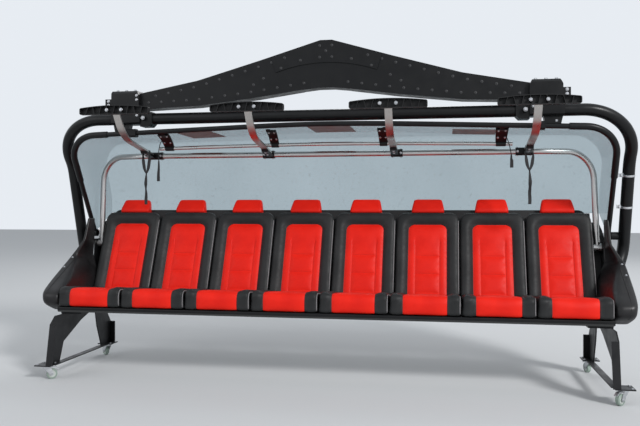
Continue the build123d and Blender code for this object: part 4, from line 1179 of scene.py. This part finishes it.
def make_stitching(back, cushion):
    """Stitches beside the seams of the first back and cushion, repeated on every seat."""
    normal = Vector((0, -math.cos(RECLINE), math.sin(RECLINE)))
    rows = [insert_outline(STITCH_OUT)]
    for side in (-1, 1):
        rows.append([(side * (SEAM_HALF + out), v) for out, v in SEAM_STITCH_STOPS])
    for v in SEAM_ROWS[1:]:
        rows.append([(-SEAM_HALF + STITCH_IN, v + STITCH_IN), (SEAM_HALF - STITCH_IN, v + STITCH_IN)])
    tree = surface_tree(back)
    parts = []
    for row in rows:
        parts += stitch_row(tree, [(on_back(0.0, u, v, 0.0), normal) for u, v in even(row, STITCH_PITCH)])
    tree = surface_tree(cushion)
    line, normals = profile_curve(CUSHION_PROFILE, STITCH_PITCH)

    def on_cushion(u, p, n):
        return at(u, *p), Vector((0, *n))

    for side in (-1, 1):
        u = side * (CUSHION_INSERT_HALF + STITCH_OUT)
        parts += stitch_row(tree, [on_cushion(u, p, n) for p, n in zip(line, normals)
                                   if p[1] > STITCH_LOW and p[0] < STITCH_BACK])
    for seam in CUSHION_SEAMS:
        row = min(range(len(line)), key=lambda i: abs(line[i][0] - seam - STITCH_IN))
        us = np.arange(-CUSHION_INSERT_HALF + STITCH_IN, CUSHION_INSERT_HALF - STITCH_IN, STITCH_PITCH)
        parts += stitch_row(tree, [on_cushion(u, line[row], normals[row]) for u in us])
    points, faces = joined(parts)
    first = add_piece("seat_stitching_1", points, faces, [THREAD], None, smooth=False)
    on_seats(first, "seat_stitching", False)


# Side panels: the frame's sections as height, radius and four corners (out of the bench's end, depth)
PANEL_SECTIONS = (
    (0.500, 0.040, (0.0003, 0.590), (0.0003, 0.150), (0.125, 0.150), (0.125, 0.590)),
    (0.560, 0.044, (0.0003, 0.600), (0.0003, 0.014), (0.154, 0.024), (0.158, 0.600)),
    (0.650, 0.044, (0.0003, 0.640), (0.0003, 0.018), (0.163, 0.026), (0.168, 0.650)),
    (0.740, 0.040, (0.0003, 0.700), (0.0300, 0.240), (0.174, 0.195), (0.172, 0.705)),
    (0.903, 0.016, (0.0813, 0.752), (0.1440, 0.556), (0.188, 0.540), (0.158, 0.760)),
    (1.040, 0.009, (0.0813, 0.775), (0.0780, 0.606), (0.102, 0.598), (0.102, 0.780)),
    (1.236, 0.008, (0.0720, 0.765), (0.0720, 0.675), (0.092, 0.670), (0.092, 0.765)))
PANEL_STEP = 0.012
PANEL_SMOOTHING = 6
# Columns of a row that hold the two outer corners, which the smoothing may not push outward
PANEL_OUTER = (6, 8)
PANEL_SLACK = 0.001
PANEL_EDGE_STEPS = (10, 4, 10, 3)
PANEL_CORNER_STEPS = 7
FLANGE_WIDTH = 0.052
FLANGE_MIDDLE = 0.026
PANEL_BOLT_HEIGHTS = (0.826, 0.898)


def panel_rows():
    """Sections every step of height, as rows of height, radius and the four corners."""
    table = np.array([[z, r, *sum(corners, ())] for z, r, *corners in PANEL_SECTIONS])
    heights = np.arange(table[0, 0], table[-1, 0] + PANEL_STEP / 2, PANEL_STEP)
    rows = np.array([np.interp(heights, table[:, 0], column) for column in table.T]).T
    limit = rows[:, PANEL_OUTER] + PANEL_SLACK
    for _ in range(PANEL_SMOOTHING):
        rows[1:-1] = (rows[:-2] + 2 * rows[1:-1] + rows[2:]) / 4
    rows[:, PANEL_OUTER] = np.minimum(rows[:, PANEL_OUTER], limit)
    return rows


def rounded_loop(corners, radii):
    """Loop through corners with each corner rounded, and a set number of steps on each edge."""
    loop = []
    for i, corner in enumerate(corners):
        before, after = corners[i - 1], corners[(i + 1) % len(corners)]
        start = corner + (before - corner) * min(0.49, radii[i] / np.linalg.norm(before - corner))
        end = corner + (after - corner) * min(0.49, radii[i] / np.linalg.norm(after - corner))
        for t in np.linspace(0, 1, PANEL_CORNER_STEPS):
            loop.append((1 - t) ** 2 * start + 2 * t * (1 - t) * corner + t * t * end)
        reach = min(0.49, radii[(i + 1) % len(corners)] / np.linalg.norm(after - corner))
        stop = after + (corner - after) * reach
        for k in range(1, PANEL_EDGE_STEPS[i]):
            loop.append(end + (stop - end) * k / PANEL_EDGE_STEPS[i])
    return loop


def make_side_panel(name, side, rows):
    first, last = rows[0].copy(), rows[-1].copy()
    for row, inset, rise in ((first, 0.008, -0.003), (last, 0.005, 0.0)):
        row[0] += rise
        row[2:] += inset * np.array((1, -1, 1, 1, -1, 1, -1, -1))
    points = []
    for row in [first, *rows, last]:
        corners = [np.array(row[i:i + 2]) for i in (2, 4, 6, 8)]
        radius = 1.3 * min(row[1], 0.45 * np.linalg.norm(corners[1] - corners[2]))
        for x, y in rounded_loop(corners, (0.006, radius, radius, 0.010)):
            points.append(at(side * (BENCH_HALF + x), y, row[0]))
    loops = len(rows) + 2
    faces = loft_faces(loops, len(points) // loops)
    if side < 0:
        faces = [(f[0], *f[:0:-1]) for f in faces]
    panel = add_piece(f"side_panel_cover_{name}", points, faces, [PANEL], "chair",
                      fine=True)
    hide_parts(f"side_panel_{name}")
    return panel


def panel_trim(name, side, rows, panel):
    """Seam that parts the panel's outer flange from its hollow face, and two bolts beside it."""
    tree = surface_tree(panel)

    def hit(x, z):
        return tree.ray_cast(at(side * (BENCH_HALF + x), -0.1, z), REAR)[:2]

    seam, bolts = [], []
    for row in rows[4:-3:2]:
        place, normal = hit(max(row[6] - FLANGE_WIDTH, row[4] + 0.010), row[0])
        if place is not None:
            seam.append(place + normal * 0.0004)
    for z in PANEL_BOLT_HEIGHTS:
        row = min(rows, key=lambda r: abs(r[0] - z))
        place, normal = hit(row[6] - FLANGE_MIDDLE, z)
        bolts += hex_bolt(place, normal, 0.008)
    add_parts(f"side_panel_seam_{name}", [tube(seam, 0.0022, 6)], RUBBER, "chair")
    add_parts(f"side_panel_bolts_{name}", bolts, BOLT, "chair")


# Rounded top edge of the long back shell, behind the headrests
TOP_EDGE_RUN = BENCH_HALF - 0.035
TOP_EDGE_HIGH = BACK_HEIGHT + 0.054
TOP_EDGE_LOW = BACK_HEIGHT - 0.020
TOP_EDGE_CORNER = 0.055
TOP_EDGE_LEVEL = -0.100
TOP_EDGE_THICKNESS = 0.020


def make_top_edge():
    up = Vector((0, math.sin(RECLINE), math.cos(RECLINE)))
    ends = [TOP_EDGE_RUN - TOP_EDGE_CORNER * (1 - math.sin(math.radians(a))) for a in range(0, 91, 10)]
    line = []
    for x in [-x for x in ends[::-1]] + ends:
        into = max(0.0, (abs(x) - TOP_EDGE_RUN + TOP_EDGE_CORNER) / TOP_EDGE_CORNER)
        top = TOP_EDGE_HIGH - TOP_EDGE_CORNER * (1 - math.sqrt(max(0.0, 1 - into * into)))
        middle, half = 0.5 * (top + TOP_EDGE_LOW), 0.5 * (top - TOP_EDGE_LOW)
        line.append((on_back(x, 0, middle, TOP_EDGE_LEVEL), up * half))
    strip = ribbon(line, TOP_EDGE_THICKNESS)
    soften(add_parts("back_shell_top_edge", [strip], SHELL, "chair"), 0.008, 3)


# Dark webs that close the gaps between the back shell's ends and the side panels
WEB_LEVEL = -0.170
WEB_MIDDLE = BENCH_HALF + 0.0425
WEB_HALF = 0.0725
WEB_RISE = (0.120, 0.690)
WEB_THICKNESS = 0.008


def make_end_webs():
    for name, side in SIDES.items():
        line = []
        for v in np.linspace(*WEB_RISE, 9):
            half = WEB_HALF * (1 - 0.25 * max(0.0, (v - 0.58) / 0.11))
            x = side * (WEB_MIDDLE - WEB_HALF + half)
            line.append((on_back(x, 0, v, WEB_LEVEL), Vector((half, 0, 0))))
        web = add_parts(f"end_web_{name}", [ribbon(line, WEB_THICKNESS)], SHELL, "chair")
        soften(web, 0.002, 2)


# Moulded covers over the handle bar's brackets: route as (depth, height), spans as (low x, high x, drop)
BRACKET_ROUTE = ((0.350, 1.944), (0.400, 1.926), (0.445, 1.898), (0.478, 1.872), (0.500, 1.850))
BRACKET_SPANS = ((1.297, 1.393, 0.0253), (0.402, 0.480, 0.0098))
BRACKET_HALF_THICKNESS = 0.0085
BRACKET_TAPER = 0.18
# Bolt rows as (depth, height, direction), and the bar's clamp as (radius, share of the half width)
BRACKET_BOLTS = ((0.372, 1.937, Vector((0, -0.38, -0.92))), (0.452, 1.893, Vector((0, -0.55, -0.84))))
BRACKET_BOLT_REACH = 0.55
BAR_CLAMP = ((0.0185, -0.80), (0.0215, -0.72), (0.0215, 0.72), (0.0185, 0.80))
HANDLE_BAR = (0.503, 1.845)


def make_bracket_covers():
    covers, bolts = [], []
    rows = smooth_line(BRACKET_ROUTE, 4)
    for low_x, high_x, drop in BRACKET_SPANS:
        for side in (-1, 1):
            middle, half = side * (low_x + high_x) / 2, (high_x - low_x) / 2
            line = []
            for i, (y, z) in enumerate(rows):
                taper = half * (1.0 - BRACKET_TAPER * i / len(rows))
                line.append((at(middle, y, z - drop), Vector((taper, 0, 0))))
            covers.append(ribbon(line, 2 * BRACKET_HALF_THICKNESS))
            clamp = [(radius, share * half) for radius, share in BAR_CLAMP]
            covers.append(turned(clamp, at(middle, HANDLE_BAR[0], HANDLE_BAR[1] - drop), (1, 0, 0), 20))
            for y, z, out in BRACKET_BOLTS:
                for reach in (-BRACKET_BOLT_REACH, BRACKET_BOLT_REACH):
                    place = at(middle + reach * half, y, z - drop)
                    bolts += hex_bolt(place + out.normalized() * BRACKET_HALF_THICKNESS, out, 0.008)
    soften(add_parts("handle_bracket_covers", covers, BLACK, "bubble"), 0.0025, 2)
    add_parts("handle_bracket_bolts", bolts, BOLT, "bubble")


# Floor
FLOOR_REACH = 40.0


def make_floor():
    mesh = bpy.data.meshes.new("floor")
    corners = [(x * FLOOR_REACH, y * FLOOR_REACH, 0) for x, y in ((-1, -1), (1, -1), (1, 1), (-1, 1))]
    mesh.from_pydata(corners, [], [(0, 1, 2, 3)])
    floor = place_object("floor", mesh)
    m = Nodes("pale_floor")
    m.set(Base_Color=(0.62, 0.63, 0.64), Roughness=0.85)
    mesh.materials.append(m.material)


scene.view_settings.view_transform = "Standard"
make_camera()
make_lights()
make_world()
make_floor()
back = make_backs()
cushion = make_cushions()
make_stitching(back, cushion)
repeat_seats(back, "seat_back_soft", lambda i: f"seat_back_{i}")
repeat_seats(cushion, "seat_cushion_soft", lambda i: f"seat_cushion_{i}")
repeat_seats(make_headrests(), "headrest_soft", lambda i: "headrests")
make_piping_highlight()
beam_bolts()
housing_bolts()
footrest_fittings()
band_clamps()
castor_fittings()
front_lip()
make_labels()
make_straps()
make_pull_tabs()
make_bracket_covers()
make_top_edge()
make_end_webs()
sections = panel_rows()
for name, side in SIDES.items():
    panel_trim(name, side, sections, make_side_panel(name, side, sections))
